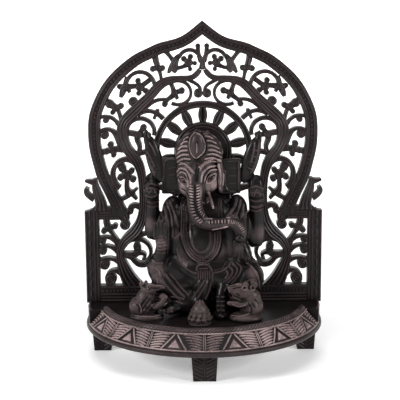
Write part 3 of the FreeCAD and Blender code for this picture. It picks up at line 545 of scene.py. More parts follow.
STEMS = [
    # scrolls that spring from the trunk towards the post
    [(79, 96, 4), (83, 103.5, 3.6), (88.5, 106.3, 2.8), (97, 105.8, 2.8)],
    [(78, 88, 4), (83, 95.3, 3.8), (89, 98, 2.8), (97, 96.8, 2.8)],
    [(77, 78, 4), (82.5, 84.8, 3.8), (89, 86.3, 3), (97, 84.6, 3)],
    [(74, 68, 6), (80, 74, 5), (86, 74.3, 3), (90.4, 70.4, 3), (90.6, 64, 3), (88, 59, 4)],
    # small flower between the bar and the trunk
    [(90, 125, 5.5), (88.5, 116, 5), (84.3, 109.5, 3.2), (79, 101, 4)],
    # flower stalk and hook inside the low ring
    [(78, 90, 3), (70, 90, 5), (63.5, 90.5, 6), (62, 97, 7)],
    [(64, 89.5, 5), (58.5, 91.3, 3.6), (55, 89.6, 2.8), (54.8, 86.8, 2.2), (57.6, 85.8, 1.6)],
    [(50.5, 83, 3.4), (55.5, 80.3, 5), (61.5, 81.3, 5), (67, 86.6, 4), (76, 89.5, 3)],
    # branch behind the arms, and the three that meet behind the figure
    [(60, 108, 4), (52, 109.6, 3), (44, 106.5, 3.4), (37, 98, 4), (30, 86, 5), (26, 72, 5), (24, 55, 6)],
    [(60, 131, 6), (45, 128.5, 5.5), (30, 122, 6), (16, 112, 6.5), (0, 100, 7)],
    [(57, 155, 5), (41, 154, 5), (26, 149, 6)],
    [(62, 184, 4.5), (52, 186.5, 4.5), (43, 188, 5)],
    [(10, 56, 6), (17, 74, 6), (14, 92, 5), (3, 104, 5)],
    [(2, 128, 6), (10, 131, 4.5), (18, 128, 4), (24, 120, 5)],
    # curl under the arch foot, and the bar's rolled end
    [(58, 133.5, 4), (62.5, 136.4, 4.6), (66.8, 134.8, 5.6), (67.8, 131.6, 5.4)],
    [(86, 129.3, 12), (76, 129, 12.4), (72.8, 123, 8.4)],
    # stalk and leaf of the tall flower
    [(70.4, 160, 4), (70.2, 152, 5), (67.5, 147, 9)],
    [(66, 148, 4.4), (61.6, 142.2, 2.4)],
    [(68, 147, 5), (74.3, 143, 4), (79, 141, 4)],
    [(66, 148, 4), (61, 152.6, 2.6)],
    [(73.5, 170, 7), (75.4, 173.5, 7), (77, 177, 6)],
    # stalks of the flowers between the trunk and the border
    [(71, 188.6, 6), (79, 189, 5.5), (88, 187.3, 5), (95, 186, 6)],
    [(74, 211, 3.4), (75.3, 218.5, 3.2), (78.4, 226.5, 4), (84, 230.3, 6.4), (89, 234, 5)],
    [(76, 193, 5), (79.6, 202.5, 5), (84, 206.6, 3.6), (89, 207.3, 3.4), (94, 204.5, 4)],
    [(76, 206, 3.4), (79.6, 215, 3), (85, 218.4, 3), (94, 218, 3)],
    [(72, 204, 5), (65, 203.6, 5.2), (59, 202, 5.4)],
    [(59.4, 202.5, 5), (59.8, 197, 5), (58, 192, 4.4), (58.6, 187.5, 4), (62, 183, 4)],
    [(36, 216.5, 4), (40.5, 220.6, 4), (46, 223.3, 3.4), (53, 223.5, 4), (60, 221, 6)],
    [(41.4, 221, 3.6), (41.2, 225.6, 3.4)],
    [(42.6, 221, 3.4), (44.6, 216.6, 3)],
    # small scroll over the halo
    [(28.6, 249, 4.4), (26.6, 243, 4.4), (26.4, 239, 5), (30.6, 235.2, 4), (34, 231, 4.6)],
    [(31, 233.5, 3), (37, 234.3, 3), (44, 232.6, 3.4), (53, 226, 4)],
    [(25.5, 239.5, 5), (22.6, 234.6, 2.8)],
    # flower in the upper ring, its ladder band and its leaf
    [(44.5, 254.5, 4.6), (50, 250.5, 4.6), (56, 246, 5)],
    [(56, 246, 6), (63, 246.4, 4.6), (70, 245.6, 6), (75.8, 246.2, 4)],
    [(71, 246, 6), (72.8, 241, 5.6), (74.4, 236.4, 3)],
    [(68, 245, 4), (66.2, 240.6, 2.8)],
    [(68.6, 255, 3.4), (70, 249.5, 4), (71.5, 245, 5)],
    # stalk between the trunk and the border, with its two lobes
    [(38.6, 247, 3.6), (37.9, 256, 3), (40, 263, 4.4), (42.8, 274, 5.6)],
    # leaf of the topmost flower
    [(19.8, 274, 4), (24, 270, 6), (25.6, 264, 7), (23.6, 259, 2.6)],
    [(25.6, 268, 5), (29, 262, 4.6), (31, 258, 2.4)],
    [(25.4, 268, 5), (29, 272.6, 3.6), (33, 278, 5)],
    [(13, 266.4, 6), (18.6, 263.4, 3.4), (23, 262.6, 4)],
    # two curls and a bud under the arch's point
    [(14, 252.6, 3), (6.4, 248.6, 3), (2.4, 244.6, 3), (2.2, 241, 3.4)],
    [(1.6, 268, 4), (3.2, 274, 4), (4, 281, 4)],
]
# A flower is its middle and its petals, each (x, z, radius), with a neck from the middle to each petal.
FLOWERS = [
    ((87.6, 115, 3.2), [(82.2, 117, 2.7), (92.4, 112.8, 2.8)]),
    ((70.8, 165, 4.2), [(66, 168.8, 2.8), (64.6, 161, 2.9), (76.2, 162.8, 3), (74.4, 171.4, 3.4)]),
    ((83.6, 188.4, 3.4), [(84.8, 193.4, 2.8), (82, 183.8, 2.4), (88.4, 187.2, 3)]),
    ((79.4, 227.2, 3), [(74.6, 228.6, 2.8), (82, 223, 2.3), (84.6, 230.6, 3.9)]),
    ((59, 202, 3.4), [(54.4, 208.6, 3.1), (50, 201.4, 2.6)]),
    ((57, 245.4, 3.6), [(58.6, 251.4, 2.5), (51.6, 242.2, 2.5), (58, 240.2, 2.4)]),
    ((12.6, 267.4, 3.8), [(10.8, 272.6, 2.5), (16.8, 270.8, 2.6), (6.8, 266.8, 2), (11.2, 261.6, 2)]),
    ((40, 262.6, 2.2), [(36.4, 262.6, 2.7), (44.8, 262, 2.8)]),
    ((25.6, 240.2, 3.2), [(19, 242.2, 3)]),
    ((62.6, 91, 3), [(62.3, 98.2, 3.3)]),
    ((19, 139.4, 3.2), [(19, 145.6, 2.8), (13.4, 136.6, 2.8), (24.6, 136.6, 2.8)]),
]
LOBES = [
    (93.8, 103, 3.1), (93.8, 93.6, 3.6), (92.6, 80.8, 4.9), (86.8, 66.6, 5.2), (72.8, 118.5, 4.8),
    (67.8, 131.4, 3.2), (89.8, 202, 3.7), (88.4, 215.8, 2.8), (34.4, 230.2, 2.8), (63.4, 232.6, 4.2),
    (75.6, 246.4, 2.2), (4, 239.8, 4.1), (4, 282.2, 2.4),
]
# Round scrolls: middle, radii across and up, band width, start and end angle from +X towards +Z.
SCROLLS = [
    (62.3, 92.2, 13.2, 12.3, 3.4, 30, 240),
    (71, 165.5, 12.2, 14, 4.6, -62, 140),
    (57, 205, 12.6, 12, 3.6, 0, 196),
    (22.4, 240.2, 11.8, 10.8, 3, 60, 300),
    (56.6, 245.4, 13.2, 13.8, 3.6, -8, 190),
    (11.6, 266.6, 10.8, 12.2, 3.6, 30, 205),
    (19, 139, 9.6, 9.6, 3.6, -70, 245),
]
# Bird-head finial on a post.
FINIAL = [
    [(95.3, 132, 13), (95.2, 139.5, 9.6), (97.5, 147, 8), (99.6, 154.5, 6), (99.8, 162, 2.6)],
    [(99.6, 158.2, 6), (104, 159, 4.4), (109, 160, 2)],
    [(101, 143, 6), (105, 145.4, 5), (107.9, 149.4, 4.6), (107, 153.4, 3.6)],
]
HALO_MIDDLE = 187
HALO_RING = 42.8
HALO_PETALS = 14
PETAL_SHAPE = ((0.64, 0.4), (0.7, 0.8), (0.78, 0.98), (0.86, 0.8), (0.93, 0.4))
PETAL_HALF = 3.1
POST_REEDS = (98.4, 101.2, 108.9)
POST_INSIDE = 97.2
POST_TOP = 132
POST_BUD = ((104.9, 49.5, 0.7), (105.3, 52, 1.2), (105.3, 54, 1.2), (104.9, 56.2, 0.7))
RAIL_TOP = 60.6
# A reed's radius as a share of its member's width, by the number of reeds.
REED_SIZE = {2: 0.22, 3: 0.17, 4: 0.13}
THICKEST_REED = 1.5

# %% Reeds along a member


def turned(points):
    """Points along a member with the direction across it, as (place, across, width)."""
    path = smooth_path([Vector(p) for p in points], 1.3)
    found = []
    for before, here, after in zip([path[0]] + path, path, path[1:] + [path[-1]]):
        along = Vector((after[0] - before[0], after[1] - before[1])).normalized()
        found.append((Vector((here[0], here[1])), Vector((-along[1], along[0])), here[2]))
    return found


def arc_member(x, z, across, up, width, start, end):
    """Member that follows part of an oval."""
    points = []
    for step in range(9):
        turn = math.radians(start + (end - start) * step / 8)
        points.append((x + across * math.cos(turn), z + up * math.sin(turn), width))
    return points


def covered(spot, members, discs):
    """Whether a place lies under a member or disc that is above its own."""
    for x, z, radius in discs:
        if (spot - Vector((x, z))).length < radius:
            return True
    for path in members:
        for place, _, width in path[::2]:
            if (spot - place).length < width / 2:
                return True
    return False


def reed_shares(width):
    """Where the reeds of a member lie, as shares of its half width."""
    if width > 8:
        return (-0.76, -0.28, 0.28, 0.76)
    if width > 4.6:
        return (-0.66, 0, 0.66)
    return (-0.5, 0.5)


def reeds(member, above, discs, shares=None, radius=None):
    """Lines of (x, z, radius) along a member, broken where something covers it."""
    path = turned(member)
    if shares is None:
        shares = reed_shares(sorted(width for _, _, width in path)[len(path) // 2])
    lines = []
    for share in shares:
        line = []
        for place, across, width in path:
            spot = place + across * share * width / 2
            if covered(spot, above, discs) or spot[0] < -0.4:
                if len(line) > 3:
                    lines.append(line)
                line = []
                continue
            thick = radius or width * REED_SIZE[len(shares)]
            line.append((spot[0], spot[1], min(thick, THICKEST_REED)))
        if len(line) > 3:
            lines.append(line)
    return lines


def ring(x, z, radius, thick, start=0, end=360):
    """Line round a middle, from one angle to another."""
    count = max(8, round(radius * (end - start) / 90))
    turns = [math.radians(start + (end - start) * i / count) for i in range(count + 1)]
    return [(x + radius * math.cos(t), z + radius * math.sin(t), thick) for t in turns]


# %% All the lines of the right half
border_path = turned(BORDER)
trunk_path = turned(TRUNK)
discs = [middle for middle, _ in FLOWERS] + [p for _, petals in FLOWERS for p in petals] + LOBES
halo_disc = [(0, HALO_MIDDLE, HALO_RING + 3)]
scroll_members = [arc_member(*scroll) for scroll in SCROLLS]
scroll_paths = [turned(member) for member in scroll_members]


def outside_frame(x, z):
    """Whether a place is clear of the post and above the rail."""
    return not (x > POST_INSIDE and z < POST_TOP) and z > RAIL_TOP


lines = reeds(BORDER, [], [(90, 128, 7)], (-0.8, -0.5, 0.5, 0.8), 0.75)
lines += reeds(TRUNK, [border_path], halo_disc)
for member in scroll_members:
    lines += reeds(member, [border_path, trunk_path], discs + halo_disc)
for stem in STEMS:
    lines += reeds(stem, [border_path, trunk_path] + scroll_paths, discs + halo_disc)
lines = [[(x, z, radius) for x, z, radius in line if outside_frame(x, z)] for line in lines]
lines = [line for line in lines if len(line) > 3]
for x, z, radius in discs:
    lines.append(ring(x, z, radius * 0.72, radius * 0.2))
    if radius > 2.6:
        lines.append(ring(x, z, radius * 0.28, radius * 0.16))
for member in FINIAL:
    lines += reeds(member, [], [])

# %% Halo, posts, bar and rail
for radius, thick in ((HALO_RING - 2, 0.9), (HALO_RING + 2, 0.9), (25, 0.9), (22.4, 0.7)):
    lines.append(ring(0, HALO_MIDDLE, radius, thick, -90, 90))
for petal in range(HALO_PETALS // 2 + 1):
    turn = math.radians(90 - 360 / HALO_PETALS * petal)
    out, side = Vector((math.cos(turn), math.sin(turn))), Vector((-math.sin(turn), math.cos(turn)))
    for edge in (-1, 1, 0):
        petal_line = []
        for reach, width in PETAL_SHAPE:
            spot = Vector((0, HALO_MIDDLE)) + out * HALO_RING * reach + side * edge * width * PETAL_HALF
            petal_line.append((spot[0], spot[1], 0.55 if edge else 0.7))
        if all(p[0] > -0.6 for p in petal_line):
            lines.append([tuple(p) for p in smooth_path(petal_line, 1.3)])
for x in POST_REEDS:
    lines.append([(x, 46 + 1.6 * i, 0.8) for i in range(54)])
for bud in range(9):
    lines.append([(x, z + 9.6 * bud, thick) for x, z, thick in POST_BUD])
for z, thick in ((125.4, 0.7), (127.6, 0.7), (130.2, 1.0), (133.4, 1.0)):
    lines.append([(85.5 + 0.9 * i, z, thick) for i in range(14 if z > 131 else 13)])
for z, thick in ((46.4, 0.9), (49.2, 0.7), (52.2, 0.8), (59, 0.8)):
    lines.append([(0.3 + 1.6 * i, z, thick) for i in range(61)])
beads = [(2.2 + 3.4 * i, 55.7, 1.15) for i in range(28)]
for place, _, _ in border_path[2:-3:3]:
    beads.append((place[0], place[1], 1.25))
beads = [bead for bead in beads if bead[0] > 1]
print(len(lines), "reeds and rings,", len(beads), "beads")

# %% Carve the front and the back
BORDER_BEAD = ((-1, 0.3), (-0.6, 0.9), (0.6, 0.9), (1, 0.3))


def face_runs(face, sign, thin):
    """Rod runs for one face of the board, both halves."""
    runs = []
    for side in (1, -1):
        for line in lines:
            run = []
            for x, z, radius in line:
                place = Vector((side * x * MM, face - sign * 0.15 * radius * MM, z * MM))
                run.append((place, radius * thin))
            runs.append(run)
        for x, z, radius in beads:
            spot = Vector((side * x * MM, face - sign * 0.2 * MM, z * MM))
            up = Vector((0, 0, radius * MM))
            runs.append([(spot + up * rise, radius * share) for rise, share in BORDER_BEAD])
    return runs


board_relief = rods(face_runs(BOARD_FRONT, 1, 1.0), "board_relief")
dress(board_relief, "board_relief", "arch_board", board_wood, "dark_wood")
board_back = rods(face_runs(BOARD_BACK, -1, 0.8), "board_back_relief", 0)
dress(board_back, "board_back_relief", "arch_board", board_wood, "dark_wood")

# %% [markdown]
# ## The carved rim of the base
# The sloping edge is cut into leaf panels with a vein and six blades each side, with a small pyramid
# sunk between every two panels. The rim's own node keeps the slope, so only the cut work is added: a
# helper turns an angle round the base, a share of the way down the slope and a height above it into a
# place, and every blade is a rod between two such places.

# %% Places on the slope
RIM_CENTRE = Vector((0, 45))
# Each pair is a radius and a height: at the shoulder, from there to the lip, and square to the slope.
SHOULDER = (96.4, 43.1)
FALL = (11.2, -11.8)
SQUARE = (0.73, 0.69)
# Degrees in one unit of the curve, so its steps are about as long round the rim as down it.
TURN_SCALE = 10
SLOPE_STEP = 0.16


def slope(turn, down, high=0.0):
    """Turn in degrees from the front, down from 0 at the shoulder to 1 at the lip, height in mm."""
    angle = math.radians(turn)
    radius = SHOULDER[0] + FALL[0] * down + SQUARE[0] * high
    z = SHOULDER[1] + FALL[1] * down + SQUARE[1] * high
    x = RIM_CENTRE[0] + radius * math.sin(angle)
    y = RIM_CENTRE[1] - radius * math.cos(angle)
    return Vector((x, y, z)) * MM


def slope_run(middle, wing, points, radius, high):
    """Rod run through (turn, down) points, with the turns on one wing of a middle; thin at both ends."""
    spots = [Vector(((middle + wing * turn) / TURN_SCALE, down, 0)) for turn, down in points]
    run = [(slope(p[0] * TURN_SCALE, p[1], high), radius) for p in smooth_path(spots, SLOPE_STEP)]
    for end in (0, -1):
        run[end] = (run[end][0], radius * 0.4)
    return run


# %% Leaf panels
PANELS = (0, 27, 51)
PYRAMIDS = (14.2, 39.4, 62.6)
PANEL_VEIN = ((0.35, 0.03), (0.5, 0.5), (0.4, 0.97))
BLADE_ROWS = [0.1 + 0.155 * blade for blade in range(6)]
rim_runs = []
for side in (1, -1):
    for middle in PANELS:
        for wing in (1, -1):
            rim_runs.append(slope_run(side * middle, wing, PANEL_VEIN, 0.55, 0.3))
            for down in BLADE_ROWS:
                reach = 11.6 - 5.4 * down
                blade = ((1.1, down + 0.1), (reach * 0.55, down - 0.015), (reach * 0.94, down - 0.05))
                rim_runs.append(slope_run(side * middle, wing, blade, 1.02, 0.25))
    for middle in PYRAMIDS:
        for wing in (1, -1):
            rim_runs.append(slope_run(side * middle, wing, ((0.5, 0.03), (6.2, 0.98)), 0.75, 0.5))
    for down in BLADE_ROWS:
        blade = ((67.4 + 4 * down, down + 0.05), (71.5, down - 0.02), (75, down + 0.06))
        rim_runs.append(slope_run(0, side, blade, 0.95, 0.2))
for down in (0.0, 0.985):
    rim_runs.append([(slope(turn, down, 0.5), 0.7) for turn in range(-76, 77, 2)])
rim_carving = rods(rim_runs, "rim_leaves")
PYRAMID_FOOT = ((-4.2, 0.93), (4.2, 0.93), (0, 0.24))
pyramids = []
for side in (1, -1):
    for middle in PYRAMIDS:
        bpy.ops.mesh.primitive_cone_add(vertices=3, radius1=1, radius2=0, depth=1)
        stone = bpy.context.active_object
        tip = slope(side * middle, 0.66, 2.6)
        low = [v for v in stone.data.vertices if v.co.z < 0]
        for vertex, (turn, down) in zip(low, PYRAMID_FOOT):
            vertex.co = slope(side * middle + turn, down, -0.6)
        for vertex in stone.data.vertices:
            if vertex not in low:
                vertex.co = tip
        apply_modifier(stone, "BEVEL", width=0.3 * MM, segments=2)
        face_out(stone)
        pyramids.append(stone)
dress(rim_carving, "rim_leaves", "base", dusty_wood, "dusty_wood")
dress(join(pyramids, "rim_pyramids"), "rim_pyramids", "base", pyramid_wood, "dusty_wood")

# %% [markdown]
# ## Rope edges
# A bead round the top of the rim is cut as a rope: eight strands wind round it, one turn in 26 mm. The
# edges of the two ears under the arch's ends have the same cut, smaller, in three strands.

# %% Rope on the bead and ears
STRANDS = 8
STEPS = 164
BEAD_RADIUS = 92.4
BEAD_HEIGHT = 43.9
ROPE_RADIUS = 2.75
EAR_RADIUS = 106.6
EAR_HEIGHT = 44
rope_runs = []
for strand in range(STRANDS):
    run = []
    for step in range(STEPS + 1):
        turn = -76 + 152 * step / STEPS
        twist = math.radians(360 / STRANDS * strand + turn * 22.5)
        angle = math.radians(turn)
        radius = BEAD_RADIUS + ROPE_RADIUS * math.cos(twist)
        height = BEAD_HEIGHT + ROPE_RADIUS * math.sin(twist)
        place = Vector((radius * math.sin(angle), RIM_CENTRE[1] - radius * math.cos(angle), height))
        run.append((place * MM, 0.85))
    rope_runs.append(run)
for side in (1, -1):
    edge = []
    for turn in range(77, 90, 2):
        angle = math.radians(turn)
        y = RIM_CENTRE[1] - EAR_RADIUS * math.cos(angle)
        edge.append(Vector((side * EAR_RADIUS * math.sin(angle), y, EAR_HEIGHT)))
    edge += [Vector((side * EAR_RADIUS, 46 + 3 * i, EAR_HEIGHT)) for i in range(7)]
    path = smooth_path(edge, 1.5)
    for strand in range(3):
        run = []
        for number, place in enumerate(path):
            twist = math.radians(120 * strand + number * 60)
            spot = place + Vector((side * 0.9 * math.cos(twist), 0, 0.9 * math.sin(twist)))
            run.append((spot * MM, 0.75))
        rope_runs.append(run)
rope = rods(rope_runs, "rim_rope", 0)
dress(rope, "rim_rope", "base", lip_wood, "dusty_wood")

# %% [markdown]
# ## Leaf cuts on the legs
# Each leg has a leaf cut on its face: a vein and slanting veins each side, laid on the leg's own node.

# %% Leaves on the legs


def on_board(place):
    """Board point of a place given in mm, along the line of sight."""
    eye = EYE / MM
    share = (DRAWING_BOARD - eye[1]) / (place[1] - eye[1])
    return (eye[0] + (place[0] - eye[0]) * share, eye[2] + (place[2] - eye[2]) * share)


leg_pieces = []
for leg in ("front_leg", "left_leg", "right_leg"):
    low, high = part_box(leg)
    middle = (low[0] + high[0]) / 2 / MM
    face = low[1] / MM
    half = (high[0] - low[0]) / 2 / MM - 1.8
    veins = [(0.7, [(0, 1.5), (0, 13), (0, 25)])]
    for vein in range(7):
        z = 1.5 + 3.4 * vein
        tip = min(z + 4.4, 25.6)
        for wing in (1, -1):
            veins.append((0.8, [(wing * 1.2, z), (wing * half * 0.6, z + 2.2), (wing * half * 0.94, tip)]))
    drawn = [(radius, [on_board((middle + x, face, z)) for x, z in points]) for radius, points in veins]
    leg_pieces.append(lay_lines(drawn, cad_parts[leg], leg + "_leaf", 0.1))
dress(join(leg_pieces, "leg_leaves"), "leg_leaves", "base", board_wood, "dusty_wood")

# %% Wood on the frame's own nodes
NODE_WOOD = {
    "fret_panel": board_wood,
    "base_plate": lip_wood,
    "base_block": deck_wood,
    "base_rim": rim_wood,
    "front_leg": board_wood,
    "left_leg": board_wood,
    "right_leg": board_wood,
    "leg_dowels": deck_wood,
    "figure_dowels": deck_wood,
}
for node, wood in NODE_WOOD.items():
    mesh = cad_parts[node].data
    for slot in range(len(mesh.materials)):
        mesh.materials[slot] = wood

# %% [markdown]
# ## The seated figure
# The figure is one carving. Its masses are listed as balls (middle, half sizes, lean) and as limbs
# (x, y, z, radius), head and body apart, and each list is blended into one skin. Everything finer is
# laid on that skin as lines and beads along the line of sight, which is how a carver marks it out: the
# crown's rows, the brows, the ribs across the trunk, the garlands, the shawl's folds and the bangles.
# Between them run thin black rods, sunk nearly to the skin, which paint the shade in the cuts.

# %% Masses of the head
HEAD_BALLS = {
    "crown": ((-3.6, 20, 188.1), (21.6, 16, 20.7), 0),
    "skull": ((-4, 18, 171.7), (20.2, 17, 18.8), 0),
    "face": ((-4.7, 9, 160.5), (12.9, 12, 13.3), 0),
    "left_cheek": ((-15.3, 7, 162.6), (7.5, 7, 11.5), -14),
    "right_cheek": ((7.3, 7, 166.2), (7.5, 7, 11.1), 14),
    "jaw": ((1.5, 14, 149.8), (5.4, 7, 8.0), 0),
    "jewel": ((-5, 5, 197), (6.6, 4.5, 11.9), 0),
    "top_knob": ((-5.2, 16, 207.7), (3.6, 5, 2.3), 0),
    "right_knob": ((2.3, 16, 206.4), (3.6, 5, 2.3), -15),
    "left_eye": ((-16.9, 1.6, 166.6), (3.9, 2.2, 2.0), 38),
    "right_eye": ((6.8, 1.6, 168.3), (3.9, 2.2, 2.0), -38),
}
HEAD_LIMBS = {
    "trunk": [
        (-5.5, 0, 174.3, 9), (-7.3, -4, 164.4, 8), (-7.8, -6.5, 154.2, 7), (-7, -8, 143.8, 6.8),
        (-3.5, -8.5, 134.6, 6.6), (3.8, -8, 129.6, 5.2), (14.3, -7.5, 129.9, 4.6), (24, -7.5, 130.6, 5),
        (30.6, -7.5, 127.3, 6), (33, -7.5, 120.6, 5),
    ],
    "side_lock": [(14.3, 9, 183.7, 2.2), (15.7, 8, 171.4, 2.5), (15.3, 9, 156.9, 2.2)],
}
TUSK = [(4.4, 2, 155.4, 1.5), (5.8, -2, 151.6, 1.5), (7.3, -4, 147.5, 1.3), (8.5, -5, 143.3, 1)]
pieces = [egg(middle, half, lean) for middle, half, lean in HEAD_BALLS.values()]
pieces += [stick(points) for points in HEAD_LIMBS.values()]
head = blend_masses(pieces, "head", 0.62, 5)
print("head", len(head.data.polygons), "faces")

# %% Ears
EARS = {
    "left_ear": ((-28.5, 24, 167.6), (9.0, 2.6, 16.2)),
    "right_ear": ((24.1, 24, 167.2), (9.5, 2.6, 15.8)),
}


def ear_plate(middle, half):
    """Flat ear with round corners and a sunk inside."""
    bpy.ops.mesh.primitive_cube_add(size=2, location=[c * MM for c in middle], scale=[h * MM for h in half])
    plate = bpy.context.active_object
    bpy.ops.object.transform_apply(location=True, rotation=False, scale=True)
    bpy.ops.object.mode_set(mode="EDIT")
    bpy.ops.mesh.select_mode(type="FACE")
    bpy.ops.mesh.select_all(action="DESELECT")
    bpy.ops.object.mode_set(mode="OBJECT")
    for face in plate.data.polygons:
        face.select = face.normal.y < -0.9
    bpy.ops.object.mode_set(mode="EDIT")
    bpy.ops.mesh.inset(thickness=1.8 * MM)
    bpy.ops.transform.translate(value=(0, 1.4 * MM, 0))
    bpy.ops.object.mode_set(mode="OBJECT")
    apply_modifier(plate, "BEVEL", width=1.1 * MM, segments=3)
    apply_modifier(plate, "SUBSURF", levels=2, render_levels=2)
    apply_modifier(plate, "REMESH", mode="VOXEL", voxel_size=0.7 * MM)
    return plate


ears = join([ear_plate(middle, half) for middle, half in EARS.values()], "ears")

# %% Rows and ribs


def ribs(path, pitch, start, stop, sweep=0.0, radius=0.7, offset=0.0):
    """Short lines across a path of board points, from start to stop mm to its left."""
    places = smooth_path([Vector((*point, 0)) for point in path], 0.3)
    travelled = pitch - offset
    lines = []
    for here, after in zip(places, places[1:]):
        travelled += (after - here).length
        if travelled < pitch:
            continue
        travelled -= pitch
        along = (after - here).normalized()
        left = Vector((along.y, -along.x, 0))
        ends = (here + left * start, here + left * stop - along * sweep)
        lines.append((radius, [(end.x, end.y) for end in ends]))
    return lines


# %% Lines on the head
# The crown's rows, each an arc on the board. A black rod of painted shade runs under every one, as the
# shade in its cut.
CROWN_ROWS = [
    [(-17.5, 201), (-15, 203.5), (-12, 204)],
    [(-20, 197), (-16.5, 200), (-13, 200)],
    [(-22, 193), (-18.5, 196), (-13.5, 196)],
    [(-23, 189), (-19.5, 192), (-13.5, 192.5)],
    [(-23.5, 185.5), (-18.5, 188.5), (-12.5, 188.5)],
    [(-23, 182), (-17.5, 185), (-11, 184.5)],
    [(1.5, 205), (5, 204.5), (9, 202.5)],
    [(3, 201), (7.5, 200.5), (12, 198)],
    [(4, 196.5), (8.5, 196.5), (14.5, 193.5)],
    [(4, 192.5), (9.5, 192.5), (16, 189.5)],
    [(3, 188.5), (9.5, 189), (16.5, 186)],
    [(1, 184.5), (8.5, 185.5), (16, 182.5)],
]
HEAD_LINES = [
    (0.6, [(-7, 208.5), (-11, 203.5), (-12, 196), (-10, 189), (-6.5, 185)]),
    (0.6, [(-7, 208.5), (-1.5, 205), (1.5, 198), (0.5, 191), (-6, 185)]),
    (0.5, [(-5.5, 199), (-5.5, 190)]),
    (0.7, [(-22, 179.5), (-17, 180.5), (-11.5, 176.5), (-7.5, 171.5)]),
    (0.7, [(-3.5, 174), (0, 179), (7, 182.5), (13, 182)]),
    (0.9, [(-23.5, 173), (-20, 176.5), (-15, 175), (-11.5, 168.5), (-11.5, 162.5)]),
    (0.8, [(-23, 169.5), (-19.5, 173), (-15.5, 171.5), (-13.5, 166), (-13, 160.5)]),
    (0.9, [(-2, 163.5), (-0.5, 171.5), (4.5, 177), (12, 178.5)]),
    (0.8, [(0.5, 164), (2.5, 170), (7, 174.5), (12.5, 175)]),
    (0.7, [(-22.5, 168.5), (-18.5, 168.5), (-15, 165.5), (-13, 160.5)]),
    (0.7, [(-22.5, 168.5), (-20.5, 164), (-17, 161), (-13, 160.5)]),
    (0.7, [(2.5, 162.5), (4, 167.5), (7.5, 170.5), (11.5, 172)]),
    (0.7, [(2.5, 162.5), (7.5, 164), (10.5, 167.5), (11.5, 172)]),
    (1.1, [(13.5, 180.5), (15, 170.5), (14.5, 157)]),
    (0.9, [(17, 184), (18, 173), (17, 160)]),
    (0.8, [(-0.5, 131.5), (7.5, 131), (16.5, 132), (24.5, 132)]),
    (0.8, [(-8.5, 123.5), (-0.5, 120.5), (12, 122), (22, 124)]),
    (0.6, [(-7.5, 160.5), (-7.5, 148), (-5.5, 137.5), (-0.5, 129)]),
]
BROW_BEADS = [
    (0.9, [(-19.5, 181.5), (-15, 179.5), (-10.5, 174)]),
    (0.9, [(-3, 177.5), (1.5, 181.5), (8, 184.5)]),
]
EAR_LINES = [
    (0.7, [(-22, 184.5), (-31, 184.5), (-34, 181), (-34, 164), (-32, 156.5), (-24, 156)]),
    (0.8, [(20, 182), (30, 182.5), (31, 178.5), (31, 157)]),
    (0.8, [(17.5, 175), (19.5, 172.5), (19, 163.5), (22, 156.5), (29, 155.5)]),
    (0.5, [(-31, 176.5), (-24, 177.5)]),
    (0.5, [(-31, 170.5), (-24, 171)]),
    (0.5, [(-31, 164), (-24, 164)]),
    (0.5, [(22, 176.5), (29, 176.5)]),
    (0.5, [(22, 169.5), (29, 169.5)]),
    (0.5, [(22.5, 162.5), (29, 162.5)]),
]
HEAD_CUT_SHADE = [
    (0.6, [(-7.5, 209.5), (-12.5, 203.5), (-13, 196), (-11, 188.5), (-6.5, 184)]),
    (0.6, [(-6.5, 209.5), (-0.5, 206), (3, 198), (1.5, 190), (-6, 184)]),
    (0.7, [(-5, 200.5), (-5, 197)]),
    (0.6, [(-21, 175), (-17, 173.5), (-14, 169), (-12.5, 162.5)]),
    (0.6, [(-0.5, 163), (1, 170.5), (5.5, 175.5), (12, 176.5)]),
    (0.6, [(-21, 167.5), (-17.5, 167.5), (-15, 164.5), (-13.5, 161)]),
    (0.9, [(-18.5, 165.5), (-16, 163.5)]),
    (0.6, [(3, 163.5), (4.5, 167), (7.5, 169), (10.5, 170.5)]),
    (0.9, [(5.5, 165.5), (8.5, 168)]),
    (0.9, [(-5.5, 181), (-6, 173), (-6.5, 164)]),
    (0.7, [(-4, 176.5), (-4.5, 169.5), (-5, 163.5)]),
    (0.6, [(-19.5, 159), (-15, 155.5), (-12.5, 150)]),
    (0.8, [(2, 157), (2, 148), (3.5, 140), (7.5, 136)]),
    (0.7, [(12, 175), (12.5, 164), (11.5, 153.5)]),
    (0.7, [(1.5, 154.5), (4, 151.5), (6.5, 145.5), (8, 139)]),
    (1, [(-7.5, 162.5), (-7.5, 151.5), (-7, 142.5), (-4.5, 135), (1, 129)]),
]
TRUNK_DOWN = [(-8, 160.5), (-7.5, 151.5), (-7, 142.5), (-4.5, 135), (1, 129)]
TRUNK_ACROSS = [(5, 129.5), (22.5, 130.5)]
TRUNK_END = [(23, 130.5), (29, 129.5), (34, 126), (38, 120)]
crown_rows = [(0.75, row) for row in CROWN_ROWS]
crown_gap_shade = [(0.5, [(x, z - 2) for x, z in row]) for row in CROWN_ROWS]
trunk_ribs, trunk_gap_shade = [], []
for side in (1, -1):
    trunk_ribs += ribs(TRUNK_DOWN, 2.55, side * 1.5, side * 4.8, 1.1, 0.7)
    trunk_gap_shade += ribs(TRUNK_DOWN, 2.55, side * 0.5, side * 5, 1.1, 0.55, 1.27)
trunk_ribs += ribs(TRUNK_ACROSS, 2.9, 0, 3.2, 0.2, 0.5) + ribs(TRUNK_END, 1.9, 0.2, 4, 0, 0.6)
trunk_gap_shade += ribs(TRUNK_ACROSS, 2.9, -0.5, 3.6, 0.2, 0.4, 1.45)
trunk_gap_shade += ribs(TRUNK_END, 1.9, -0.5, 4, 0, 0.45, 0.95)
bpy.context.view_layer.update()
head_lines = lay_lines(HEAD_LINES + crown_rows, head, "head_lines")
trunk_lines = lay_lines(trunk_ribs, head, "trunk_lines", 0.3, 1.0)
brow_beads = lay_beads(BROW_BEADS, head, "brow_beads", 1.9)
ear_lines = lay_lines(EAR_LINES, ears, "ear_lines")
